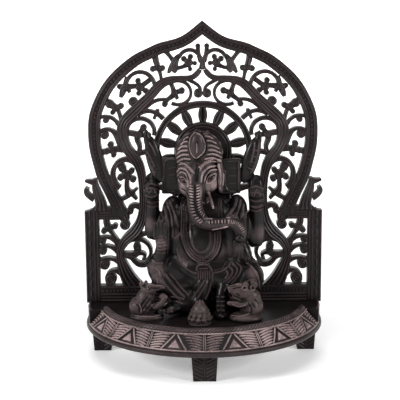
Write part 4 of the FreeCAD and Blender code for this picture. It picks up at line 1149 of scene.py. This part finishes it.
head_cuts = lay_lines(HEAD_CUT_SHADE + crown_gap_shade + trunk_gap_shade, head, "head_cuts", 0.12, 1.0)
dress(head_cuts, "head_cuts", "base", cut_shade_wood, "figure_wood")
tusk = stick(TUSK, "tusk")
face_carving = join([head_lines, trunk_lines, brow_beads, tusk], "face_carving")
dress(face_carving, "face_carving", "base", head_wood, "figure_wood")
dress(join([ears, ear_lines], "ears"), "ears", "base", figure_wood, "figure_wood")
dress(head, "head", "base", head_wood, "figure_wood", "idol_figure")

# %% Masses of the body
BODY_BALLS = {
    "seat": ((0.1, 26, 55.2), (29.0, 15, 18.1), 0),
    "belly": ((2.1, 16, 107.3), (27.7, 18, 25.9), 0),
    "chest": ((0.5, 20, 133.2), (26.1, 15, 18.0), 0),
    "nape": ((0.7, 33, 146.5), (24.6, 8, 15.5), 0),
    "back": ((0.4, 26, 111.6), (35.3, 11, 43.4), 0),
    "left_flank": ((-23, 15, 112.2), (12.5, 13, 28.6), 0),
    "right_flank": ((25.6, 15, 112.2), (11.6, 13, 28.6), 0),
    "lap": ((2, 12, 81.5), (41.0, 14, 16.9), 0),
    "left_lap": ((-25, 9, 84.1), (15.1, 12, 17.7), 0),
    "right_lap": ((32.6, 10, 82), (17.8, 12, 17.8), 0),
    "left_fist": ((-46.4, 20, 155.1), (7.6, 6.5, 11.7), 0),
    "left_feather": ((-43.5, 24, 182.6), (7.4, 4.2, 22.6), -13),
    "left_tip": ((-50, 24, 200.6), (3.2, 3, 9.5), -5),
    "right_fist": ((47.5, 20, 156.9), (7.7, 6.5, 12.1), 0),
    "right_feather": ((42.6, 24, 181.7), (7.4, 4.2, 22.6), 17),
    "right_tip": ((49.5, 24, 198.8), (3.1, 3, 9.9), 5),
    "left_shoulder": ((-28.3, 20, 137.8), (9.0, 10, 12.6), 10),
    "right_shoulder": ((31.1, 20, 138.7), (8.5, 10, 12.6), -10),
    "left_elbow": ((-41.8, 4, 89.9), (8.4, 9, 12.4), 6),
    "left_sleeve": ((-31.9, 16, 123), (5.8, 9, 19.7), 0),
    "right_sleeve": ((34.6, 16, 123), (5.4, 9, 21.5), 0),
    "right_elbow": ((36.7, 2, 100.4), (5.7, 9, 10.6), -6),
    "left_thigh": ((-21.5, 10, 71.8), (21.3, 14, 12.4), -18),
    "left_knee": ((-36.7, 6, 73.7), (10.6, 11, 11.5), 0),
    "right_thigh": ((19.9, 10, 76.4), (21.3, 14, 13.3), 14),
    "right_knee": ((40.5, 6, 76.5), (13.3, 11, 15.9), 18),
    "right_shin": ((32.4, 6, 60.8), (15.0, 11, 19.5), 10),
    "cloth": ((-0.8, 4, 68.7), (8.8, 10, 19.4), 0),
    "left_foot": ((-28.7, -2, 51.9), (9.6, 9, 5.3), 0),
    "hem_left": ((-16.2, 6, 57), (17.7, 14, 12.4), 0),
    "right_foot": ((14.1, -8, 47.2), (6.1, 9, 4.3), 0),
    "left_palm": ((-37.5, -2, 122.1), (6.5, 4, 8.3), 0),
    "right_palm": ((31, -6, 109.5), (5.6, 5, 7.8), 0),
}
BODY_LIMBS = {
    "left_wrist": [
        (-37.6, -2, 115.8, 5.2), (-37.3, -1, 107.5, 5.2), (-38.9, 1, 97.9, 6.4), (-41.9, 6, 86.6, 7),
    ],
    "left_rear_arm": [
        (-30.2, 24, 132.4, 8), (-40.4, 26, 119.1, 8), (-46, 26, 115.4, 7.4), (-46.1, 25, 128.5, 6.8),
        (-45.8, 24, 141.6, 6.2), (-46.2, 24, 154.4, 6.6), (-46.9, 24, 165.4, 5),
    ],
    "right_rear_arm": [
        (31.3, 24, 132.4, 8), (42.3, 26, 113.5, 8.4), (47.8, 26, 107.9, 7.6), (48.2, 25, 123, 7.4),
        (47.9, 24, 137.9, 6.8), (47.5, 24, 150.8, 7.4), (44.8, 24, 163.5, 5),
    ],
    "right_ankle": [(15, -6, 40.2, 4.4), (15, -6, 53.1, 4.4), (15.1, -4, 63.5, 4.6), (17.9, 0, 71.6, 6)],
    "left_shin": [(-38.3, 2, 80.3, 9), (-28.5, 0, 69.8, 8), (-17.9, -1, 59.9, 6)],
}
# Small balls at the front: the sweet in the hand, the toes as (x, z) and the anklet's bells as a height
# and the x of its pair.
SWEET = ((31.2, -12, 117.5), (4.2, 4, 4.0))
TOES = ((-38.2, 52.4), (-35, 51.5), (-31.6, 51.1), (-28.5, 51.5))
BELLS = ((64.2, 12.7, 17.1), (60.1, 12.7, 17.1), (56, 12.6, 17.1), (51.8, 12.6, 17.1), (47.7, 12.6, 17))
FINGERS = {
    "finger_0": [(-42.7, -6, 117.6, 1.7), (-42.4, -6.6, 124, 1.75), (-42.2, -6, 130.1, 1.3)],
    "finger_1": [(-39.7, -6, 118.5, 1.7), (-39.4, -6.6, 125.5, 1.75), (-39.2, -6, 132.3, 1.3)],
    "finger_2": [(-36.4, -6, 118.5, 1.7), (-36.2, -6.6, 125.6, 1.75), (-36, -6, 132.4, 1.3)],
    "finger_3": [(-33.1, -6, 117.6, 1.7), (-33.1, -6.6, 123.8, 1.75), (-33.1, -6, 129.8, 1.3)],
    "grip_0": [(27, -11, 114.2, 1.6), (27.1, -11.4, 108, 1.7), (27.3, -10, 101.4, 1.4)],
    "grip_1": [(29.9, -11, 113.3, 1.6), (30.1, -11.4, 106.7, 1.7), (30.3, -10, 99.6, 1.4)],
    "grip_2": [(32.9, -11, 113.3, 1.6), (33.1, -11.4, 107.1, 1.7), (33.3, -10, 100.5, 1.4)],
}
pieces = [egg(middle, half, lean) for middle, half, lean in BODY_BALLS.values()]
pieces += [stick(points) for points in BODY_LIMBS.values()]
figure_body = blend_masses(pieces, "figure_body", 0.85, 6)
pieces = [egg(*SWEET)] + [egg((x, -10, z), (1.6, 3.2, 2.1)) for x, z in TOES]
pieces += [egg((x, -9.6, z), (2.3, 2.4, 1.6)) for z, *pair in BELLS for x in pair]
pieces += [stick(points) for points in FINGERS.values()]
hands = blend_masses(pieces, "hands", 0.42, 2)
print("body", len(figure_body.data.polygons), "faces, hands", len(hands.data.polygons), "faces")


# %% Flat seat under the figure


def trim_below(piece, height):
    """Cuts a carving flat where it stands on the deck."""
    only(piece)
    bpy.ops.object.mode_set(mode="EDIT")
    bpy.ops.mesh.select_all(action="SELECT")
    bpy.ops.mesh.bisect(plane_co=(0, 0, height), plane_no=(0, 0, 1), clear_inner=True, use_fill=True)
    bpy.ops.object.mode_set(mode="OBJECT")


trim_below(figure_body, DECK_TOP)

# %% Lines and beads on the body
GARLANDS = [
    (0.9, [(-19, 144.5), (-19.5, 132), (-19.5, 117.5), (-17, 106.5), (-11.5, 97), (-4.5, 92), (1, 91)]),
    (0.8, [(-15, 142.5), (-15.5, 119), (-13.5, 108.5), (-8.5, 100.5), (-3.5, 96), (1, 95)]),
    (0.9, [(15.5, 150), (15.5, 133.5)]),
    (0.9, [(14.5, 120), (15, 111), (12.5, 102), (7.5, 95), (1, 91)]),
    (0.8, [(10, 119), (10, 109), (7, 100.5), (1, 95)]),
    (1.5, [
        (-11.5, 127.5), (-11.5, 119), (-10.5, 110), (-7, 103.5), (-2.5, 101), (2, 102.5), (5.5, 108.5),
        (6.5, 119),
    ]),
    (1, [(-6.5, 83.5), (-6, 87), (-3.5, 89), (3, 89), (6, 86.5), (7.5, 82.5)]),
    (0.7, [(-4.5, 85.5), (4, 85.5)]),
    (0.9, [(-22, 94.5), (-18, 88), (-11.5, 83), (-6, 81)]),
    (0.9, [(8, 81.5), (15.5, 83), (22.5, 88), (26, 93.5)]),
    (0.9, [(8, 83.5), (8, 71.5), (11, 56.5)]),
    (1, [(1, 75), (-5.5, 65), (-11.5, 56.5)]),
    (1, [(3.5, 75), (-1, 66), (-6, 57.5)]),
    (1, [(6.5, 74), (4.5, 65), (1, 56.5)]),
    (0.8, [(-3.5, 75), (-9, 67.5), (-14.5, 61)]),
]
GARLAND_BEADS = [
    (1, [(-17, 142.5), (-17.5, 130), (-17.5, 115.5), (-15, 106), (-10, 98.5), (-4.5, 94), (1, 93)]),
    (1, [(13.5, 149), (13.5, 134)]),
    (1, [(12.5, 119), (12.5, 109), (9.5, 100.5), (5, 95)]),
    (0.9, [(-5, 98), (-0.5, 96.5), (4, 98)]),
    (1.1, [(-5, 90.5), (-0.5, 89.5), (4.5, 90)]),
    (0.8, [(-17, 80.5), (-12.5, 77.5), (-7, 77)]),
    (0.8, [(20, 91.5), (16.5, 86), (10, 84)]),
]
SHAWL = [
    (1.7, [(-30, 148), (-26.5, 140), (-23.5, 131), (-22.5, 123.5)]),
    (1, [(-33.5, 149), (-30, 140), (-27.5, 128), (-27.5, 113.5)]),
    (1, [(-36, 144.5), (-33, 135.5), (-31, 125.5), (-31.5, 111)]),
    (0.9, [(-37.5, 138), (-35, 129), (-34, 119)]),
    (1.2, [(-19.5, 120), (-23.5, 115.5), (-27.5, 113)]),
    (1, [(-17, 151), (-20, 143.5), (-21.5, 135.5)]),
    (0.9, [(-14.5, 149), (-18, 142.5)]),
    (1.4, [(30, 149), (27.5, 142), (23.5, 136), (20, 132.5)]),
    (1, [(33.5, 149), (31.5, 141), (29, 133.5)]),
    (1, [(36, 144.5), (35, 137.5), (33, 130.5)]),
    (0.9, [(38, 137.5), (37, 131)]),
    (1.6, [(35.5, 109), (38, 102.5), (40.5, 96.5)]),
    (1.1, [(38.5, 111), (41.5, 102), (43, 95.5)]),
    (1.1, [(32, 106.5), (33, 97)]),
    (1.1, [(28.5, 106.5), (30, 96.5)]),
    (1, [(29, 91.5), (33.5, 86.5), (31, 79), (24.5, 71.5)]),
    (1, [(25.5, 91), (30, 85), (27.5, 78), (21, 72)]),
    (1, [(22, 88), (26, 83.5), (23, 77), (17, 72.5)]),
    (0.9, [(19.5, 84.5), (21.5, 80.5), (19, 76)]),
    (1.2, [(39.5, 95.5), (47, 90), (51.5, 82), (53.5, 70.5), (54, 59.5)]),
    (1, [(38, 91), (43.5, 86), (48, 78), (50, 66), (50.5, 55.5)]),
    (1.2, [(-50.5, 91.5), (-49, 82.5), (-46.5, 75)]),
    (1, [(-46.5, 94.5), (-42, 91), (-36.5, 91.5)]),
    (1, [(-47.5, 88), (-41, 84.5), (-38.5, 78)]),
    (0.9, [(-45.5, 81.5), (-42, 77), (-41.5, 71.5)]),
    (1.3, [(-34, 79), (-26, 68.5), (-17, 58.5)]),
    (1, [(-37, 74), (-29.5, 65), (-21, 55.5)]),
    (1, [(-30.5, 81.5), (-21.5, 69.5), (-13.5, 60)]),
    (1, [(-32.5, 59), (-25, 59.5), (-18, 57)]),
    (1, [(-32.5, 55), (-25.5, 55.5), (-19, 53)]),
    (0.9, [(36, 72.5), (43.5, 75), (48.5, 74)]),
    (0.9, [(23.5, 67.5), (22.5, 62), (24.5, 56.5)]),
    (0.9, [(20, 68.5), (18.5, 64)]),
    (0.9, [(-24, 105.5), (-23.5, 100), (-20.5, 92.5)]),
    (0.9, [(-44, 110.5), (-38, 109.5), (-32, 111.5)]),
    (0.9, [(-43.5, 107.5), (-37.5, 106.5), (-31.5, 108)]),
    (0.9, [(-43, 104), (-37.5, 103), (-31.5, 105)]),
    (0.9, [(-42.5, 101), (-37.5, 100), (-32.5, 102)]),
]
REAR_ARMS = [
    (0.9, [(-53, 160.5), (-46, 163), (-38.5, 160.5)]),
    (0.9, [(-53, 157), (-46.5, 159), (-38, 157)]),
    (0.9, [(-52.5, 153), (-45.5, 151), (-38.5, 154.5)]),
    (1.1, [(-52.5, 148), (-44.5, 146), (-37, 149)]),
    (0.9, [(-51, 143.5), (-44.5, 142), (-38, 144.5)]),
    (0.9, [(-50.5, 160), (-48, 154.5), (-44.5, 159), (-41, 153.5)]),
    (1, [(-52.5, 192.5), (-49.5, 187.5), (-46, 178.5), (-42.5, 169.5)]),
    (0.9, [(-49.5, 192.5), (-46, 185.5), (-42.5, 177.5)]),
    (0.8, [(-47.5, 200), (-44, 194.5), (-41.5, 187.5)]),
    (0.8, [(-52, 185.5), (-46.5, 187.5)]),
    (0.8, [(-51, 181), (-45, 183)]),
    (0.8, [(-50, 176.5), (-43.5, 178.5)]),
    (0.8, [(-48.5, 172.5), (-41.5, 174)]),
    (0.9, [(39, 157), (45.5, 160), (53.5, 158)]),
    (0.9, [(39, 152.5), (46.5, 154.5), (53.5, 152.5)]),
    (0.9, [(39.5, 149), (46.5, 146.5), (53, 149)]),
    (1.1, [(39.5, 143.5), (46.5, 141), (53.5, 143.5)]),
    (0.9, [(40, 140), (46.5, 137.5), (53, 140)]),
    (0.9, [(41.5, 157), (44, 151), (47.5, 157), (51, 150)]),
    (1, [(49.5, 201.5), (48.5, 192.5), (46.5, 182), (42, 171.5)]),
    (0.9, [(45.5, 200), (44.5, 191), (42, 181)]),
    (0.8, [(43, 192.5), (49, 191.5)]),
    (0.8, [(42, 187.5), (48.5, 185.5)]),
    (0.8, [(40.5, 182), (47, 180.5)]),
    (0.8, [(39, 176.5), (45, 174.5)]),
]
BODY_CUT_SHADE = [
    (0.7, [(-21, 142.5), (-21.5, 130), (-21.5, 115.5), (-18.5, 104.5), (-12.5, 95), (-5, 90), (1, 89)]),
    (0.6, [(-13, 142.5), (-13.5, 120), (-12, 109.5), (-7.5, 102)]),
    (0.7, [(17.5, 150), (17.5, 133.5)]),
    (0.7, [(16.5, 119), (16.5, 110), (14, 100), (8.5, 92.5)]),
    (0.7, [(-28, 148), (-25, 140), (-22, 130)]),
    (0.7, [(-31.5, 149), (-28.5, 139), (-26.5, 128), (-26.5, 113.5)]),
    (0.7, [(-34, 144.5), (-31, 135.5), (-29.5, 125.5), (-29.5, 111)]),
    (0.7, [(31.5, 149), (29.5, 141), (26, 135)]),
    (0.7, [(35, 146.5), (33, 139), (31, 132)]),
    (0.8, [(37, 109), (39.5, 102), (42, 96.5)]),
    (0.8, [(33.5, 107.5), (35.5, 98)]),
    (0.8, [(30, 106.5), (31.5, 96.5)]),
    (0.8, [(31, 91.5), (35, 86), (33, 78), (26, 69.5)]),
    (0.8, [(27, 91), (31.5, 85), (29, 77.5), (23, 71)]),
    (0.8, [(23.5, 89), (27.5, 84), (25, 77), (19, 71.5)]),
    (0.9, [(38.5, 93.5), (45, 88), (50, 79.5), (52, 67.5), (52.5, 56.5)]),
    (0.8, [(-35.5, 76.5), (-28, 66.5), (-19, 56.5)]),
    (0.8, [(-32, 80), (-23.5, 68.5), (-15, 58.5)]),
    (1, [(-28.5, 91.5), (-23, 85), (-15, 79), (-8, 76)]),
    (1, [(-16, 74), (-10.5, 68.5), (-12.5, 60)]),
    (0.9, [(9.5, 74), (10.5, 64), (10.5, 52)]),
    (0.8, [(-1, 74), (-6.5, 64), (-12.5, 55.5)]),
    (0.8, [(2.5, 74), (-2.5, 65), (-7, 55.5)]),
    (0.8, [(5, 73), (2.5, 64), (-2, 54.5)]),
]
LEFT_FEATHER = [(-49.5, 192.5), (-47, 186), (-44, 178.5), (-41.5, 171.5)]
RIGHT_FEATHER = [(47.5, 192.5), (45.5, 186), (42.5, 178.5), (38.5, 171.5)]
pleat_lines = [(0.7, [(x, 84), (x + 0.2, 75.5)]) for x in range(-5, 6, 2)]
pleat_cut_shade = [(0.45, [(x, 84), (x + 0.2, 75.5)]) for x in range(-4, 5, 2)]
bangle_cut_shade = [(0.5, [(-52, z), (-45, z - 1.2), (-38, z)]) for z in (159, 155, 150.5, 146)]
bangle_cut_shade += [(0.5, [(40.5, z), (47.5, z - 1.2), (54, z)]) for z in (154.5, 150.5, 145.5, 141.5)]
finger_cut_shade = [(0.5, [(x, 168.5), (x + 0.4, 159)]) for x in (43.5, 46.5, 49.5, 52.5)]
feather_cut_shade = []
for feather in (LEFT_FEATHER, RIGHT_FEATHER):
    feather_cut_shade += ribs(feather, 3.4, -3.4, 3.4, 1.4, 0.5)
bpy.context.view_layer.update()
garlands = lay_lines(GARLANDS + pleat_lines, figure_body, "garlands")
shawl = lay_lines(SHAWL + REAR_ARMS, figure_body, "shawl")
cut_shade = BODY_CUT_SHADE + pleat_cut_shade + bangle_cut_shade + finger_cut_shade + feather_cut_shade
body_cuts = lay_lines(cut_shade, figure_body, "body_cuts", 0.12)
dress(body_cuts, "body_cuts", "base", cut_shade_wood, "figure_wood")
beads_laid = lay_beads(GARLAND_BEADS, figure_body, "garland_beads")
dress_carving = join([garlands, shawl, beads_laid], "dress_carving")
dress(dress_carving, "dress_carving", "base", figure_wood, "figure_wood")
dress(hands, "hands", "base", figure_wood, "figure_wood")
dress(figure_body, "figure_body", "base", figure_wood, "figure_wood", "idol_figure")

# %% [markdown]
# ## Two mice and the heap of sweets
# Each mouse is blended from a few balls and sticks in the same way and gets its own lines. The heap is
# five rings of dumplings, each with a pinched top, round a core.

# %% Mice
LEFT_MOUSE = {
    "rump": ((-59.3, -4, 54.3), (7.5, 8.5, 8.7), 0),
    "back": ((-53.4, -4, 61.7), (7.4, 7, 10.5), 18),
    "head": ((-48.8, -5, 70.2), (7.5, 6, 5.6), 0),
    "left_near_ear": ((-55.1, -7, 74.8), (1.9, 1.6, 3.8), -12),
    "far_ear": ((-51.6, -1, 74.7), (1.9, 1.6, 3.2), 0),
    "torso": ((-52.5, -4, 59.9), (8.3, 8, 12.2), 20),
    "belly": ((-50.9, -4, 52.5), (10.5, 8, 6.1), 0),
    "slab": ((-51, -4, 45.1), (15.2, 11, 5.6), 0),
    "haunch": ((-57.8, -8, 51.8), (5.2, 4, 6.1), 0),
    "sweet": ((-36.3, -8, 64.3), (3.5, 3.6, 3.5), 0),
}
LEFT_MOUSE_LIMBS = {
    "snout": [(-47.9, -5, 70.6, 5.2), (-40.7, -6, 72, 3.2), (-35.4, -6.5, 72.8, 1.5)],
    "forearm": [
        (-50.5, -9, 58.5, 3.2), (-44.3, -11, 55.9, 3), (-38.1, -11, 58.6, 2.8), (-34, -10, 64.3, 2.2),
    ],
}
RIGHT_MOUSE = {
    "head": ((34.2, -14, 70.9), (10.8, 7.5, 7.4), 6),
    "body": ((41.4, -12, 56.6), (10.8, 9, 11.6), -20),
    "shoulder": ((36.1, -12, 63), (8.7, 8, 6.9), 0),
    "neck": ((40.5, -12, 63.9), (9.5, 8, 10.4), -30),
    "jaw": ((31.6, -14, 65.4), (7.8, 6, 4.8), -12),
    "near_ear": ((36.3, -17, 76.7), (3.1, 3, 3.4), 0),
    "far_ear": ((43.3, -14, 76.6), (3.8, 3, 4.3), 0),
    "slab": ((36.9, -14, 46.7), (14.7, 11.5, 5.5), 0),
    "haunch": ((42.8, -18, 54.8), (6.0, 4, 6.9), 0),
    "eye1": ((35.3, -21.6, 74.7), (1.1, 0.8, 1.1), 0),
    "eye2": ((42.7, -20, 74.6), (1.1, 0.8, 1.1), 0),
}
RIGHT_MOUSE_LIMBS = {
    "snout": [(34.2, -15, 69.3, 7), (27.1, -16, 71.4, 5), (22.4, -16.5, 74.2, 2.4)],
    "forearm": [
        (40.2, -17, 60.8, 3.4), (33.1, -20, 60.2, 3), (26.9, -20.5, 60.9, 2.6), (21.7, -20.5, 61.5, 2),
    ],
    "hind_foot": [(41.9, -19, 48.7, 3), (33.9, -21, 47.8, 2.8), (26.9, -21, 47.1, 2.2)],
}
LEFT_MOUSE_LINES = [
    (0.6, [(-56.5, 71.5), (-51, 71.5), (-45, 70.5), (-37, 70)]),
    (0.6, [(-66, 44), (-58, 41.5), (-47, 41), (-38, 43.5)]),
    (0.6, [(-58.5, 53.5), (-57, 49), (-57, 44.5)]),
    (0.5, [(-48.5, 69), (-49, 67.5), (-50.5, 67.5), (-51, 69), (-50.5, 70), (-49, 70), (-48.5, 69)]),
]
RIGHT_MOUSE_LINES = [
    (0.7, [(39, 67.5), (37.5, 65.5), (35.5, 65.5), (34.5, 67.5), (35.5, 69), (37.5, 69), (39, 67.5)]),
    (0.7, [(46, 67.5), (45, 65.5), (43, 65.5), (42, 67.5), (43, 69.5), (45, 69.5), (46, 67.5)]),
    (0.6, [(22, 66), (26, 59.5), (33.5, 55.5)]),
    (0.5, [(23.5, 69.5), (30.5, 71), (34.5, 70.5)]),
    (0.5, [(25.5, 52.5), (31.5, 50), (38, 52)]),
    (0.6, [(24.5, 42), (32.5, 41), (41.5, 43.5)]),
]
LEFT_MOUSE_CUT_SHADE = [
    (0.5, [(-54, 45.5), (-45.5, 56.5)]),
    (0.5, [(-51, 45), (-43.5, 54)]),
    (0.5, [(-56.5, 47.5), (-48, 59.5)]),
    (0.5, [(-57, 51), (-50.5, 60.5)]),
    (0.5, [(-59.5, 48), (-54, 57.5)]),
    (0.55, [(-61, 53), (-58.5, 50), (-58.5, 45)]),
    (0.7, [(-47, 53), (-43.5, 57.5), (-41.5, 62.5), (-37, 66)]),
    (0.5, [(-52, 69), (-46.5, 68), (-39.5, 68)]),
    (0.9, [(-50, 67.5), (-48.5, 67)]),
    (0.6, [(-54.5, 73), (-53, 67.5)]),
    (0.6, [(-49.5, 51), (-43.5, 47.5), (-38, 50)]),
    (0.6, [(-64.5, 44), (-55.5, 43), (-45.5, 43)]),
]
RIGHT_MOUSE_CUT_SHADE = [
    (1.3, [(36.5, 68), (36.5, 66.5)]),
    (1.3, [(44, 68), (44, 66.5)]),
    (0.6, [(23, 64), (27, 58), (33.5, 54), (39, 56)]),
    (0.5, [(25.5, 66.5), (31.5, 68), (35, 68)]),
    (0.6, [(40, 53.5), (43, 48), (42, 43)]),
    (0.6, [(25.5, 50.5), (31.5, 48), (38, 50)]),
    (0.6, [(26, 43), (33.5, 41.5), (40.5, 44)]),
    (0.7, [(40.5, 69.5), (40.5, 66)]),
    (0.5, [(29, 63), (32.5, 60)]),
    (0.5, [(45.5, 57.5), (49.5, 52)]),
    (0.5, [(43.5, 53.5), (46.5, 49)]),
]


def make_mouse(name, node, balls, limbs, marks, cut_shade):
    """One mouse with its raised marks, and its rods of painted shade as a piece of their own."""
    pieces = [egg(middle, half, lean) for middle, half, lean in balls.values()]
    pieces += [stick(points) for points in limbs.values()]
    mouse = blend_masses(pieces, name, 0.42, 3)
    trim_below(mouse, DECK_TOP)
    bpy.context.view_layer.update()
    fur = lay_lines(marks, mouse, name + "_lines", 0.25, 0.9)
    sunk = lay_lines(cut_shade, mouse, name + "_cuts", 0.12, 0.9)
    dress(sunk, name + "_cuts", "base", cut_shade_wood, "figure_wood")
    dress(join([mouse, fur], name), name, "base", mouse_wood, "figure_wood", node)


LEFT = (LEFT_MOUSE, LEFT_MOUSE_LIMBS, LEFT_MOUSE_LINES, LEFT_MOUSE_CUT_SHADE)
RIGHT = (RIGHT_MOUSE, RIGHT_MOUSE_LIMBS, RIGHT_MOUSE_LINES, RIGHT_MOUSE_CUT_SHADE)
make_mouse("mouse_with_sweet", "left_mouse", *LEFT)
make_mouse("crouching_mouse", "right_mouse", *RIGHT)

# %% Heap of sweets
low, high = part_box("sweets_pile")
HEAP = Vector(((low[0] + high[0]) / 2, (low[1] + high[1]) / 2, low[2])) / MM
# Rings of dumplings from the bottom up: radius of the ring, how many, radius of one.
RINGS = ((8.6, 11, 2.6), (7.4, 10, 2.4), (6, 8, 2.3), (4.4, 6, 2.1), (2.2, 4, 1.9))
pieces = [egg((HEAP[0], HEAP[1], HEAP[2] + 6), (7.4, 7.4, 10.5))]
for row, (radius, count, size) in enumerate(RINGS):
    z = HEAP[2] + 1.6 + 3.3 * row
    for number in range(count):
        turn = 2 * math.pi * (number + 0.5 * (row % 2)) / count
        x, y = HEAP[0] + radius * math.cos(turn), HEAP[1] + radius * math.sin(turn)
        pieces.append(egg((x, y, z), (size, size, size * 0.9), 0, 2))
        pieces.append(egg((x, y, z + size * 0.6), (size * 0.45, size * 0.45, size * 0.8), 0, 2))
heap = blend_masses(pieces, "sweets_heap", 0.4, 1)
trim_below(heap, HEAP[2] * MM)
dress(heap, "sweets_heap", "base", mouse_wood, "figure_wood", "sweets_pile")

# %% Tray under the heap
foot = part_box("sweets_bowl")[0][2]
rings = []
for radius, height in ((10, 0.9), (9.1, 2.7)):
    place = (HEAP[0] * MM, HEAP[1] * MM, foot + height * MM)
    bpy.ops.mesh.primitive_cylinder_add(vertices=64, radius=radius * MM, depth=1.9 * MM, location=place)
    disc = bpy.context.active_object
    bpy.ops.object.transform_apply(location=True, rotation=True, scale=True)
    apply_modifier(disc, "BEVEL", width=0.8 * MM, segments=4)
    rings.append(disc)
dress(join(rings, "sweets_tray"), "sweets_tray", "base", lip_wood, "figure_wood", "sweets_bowl")
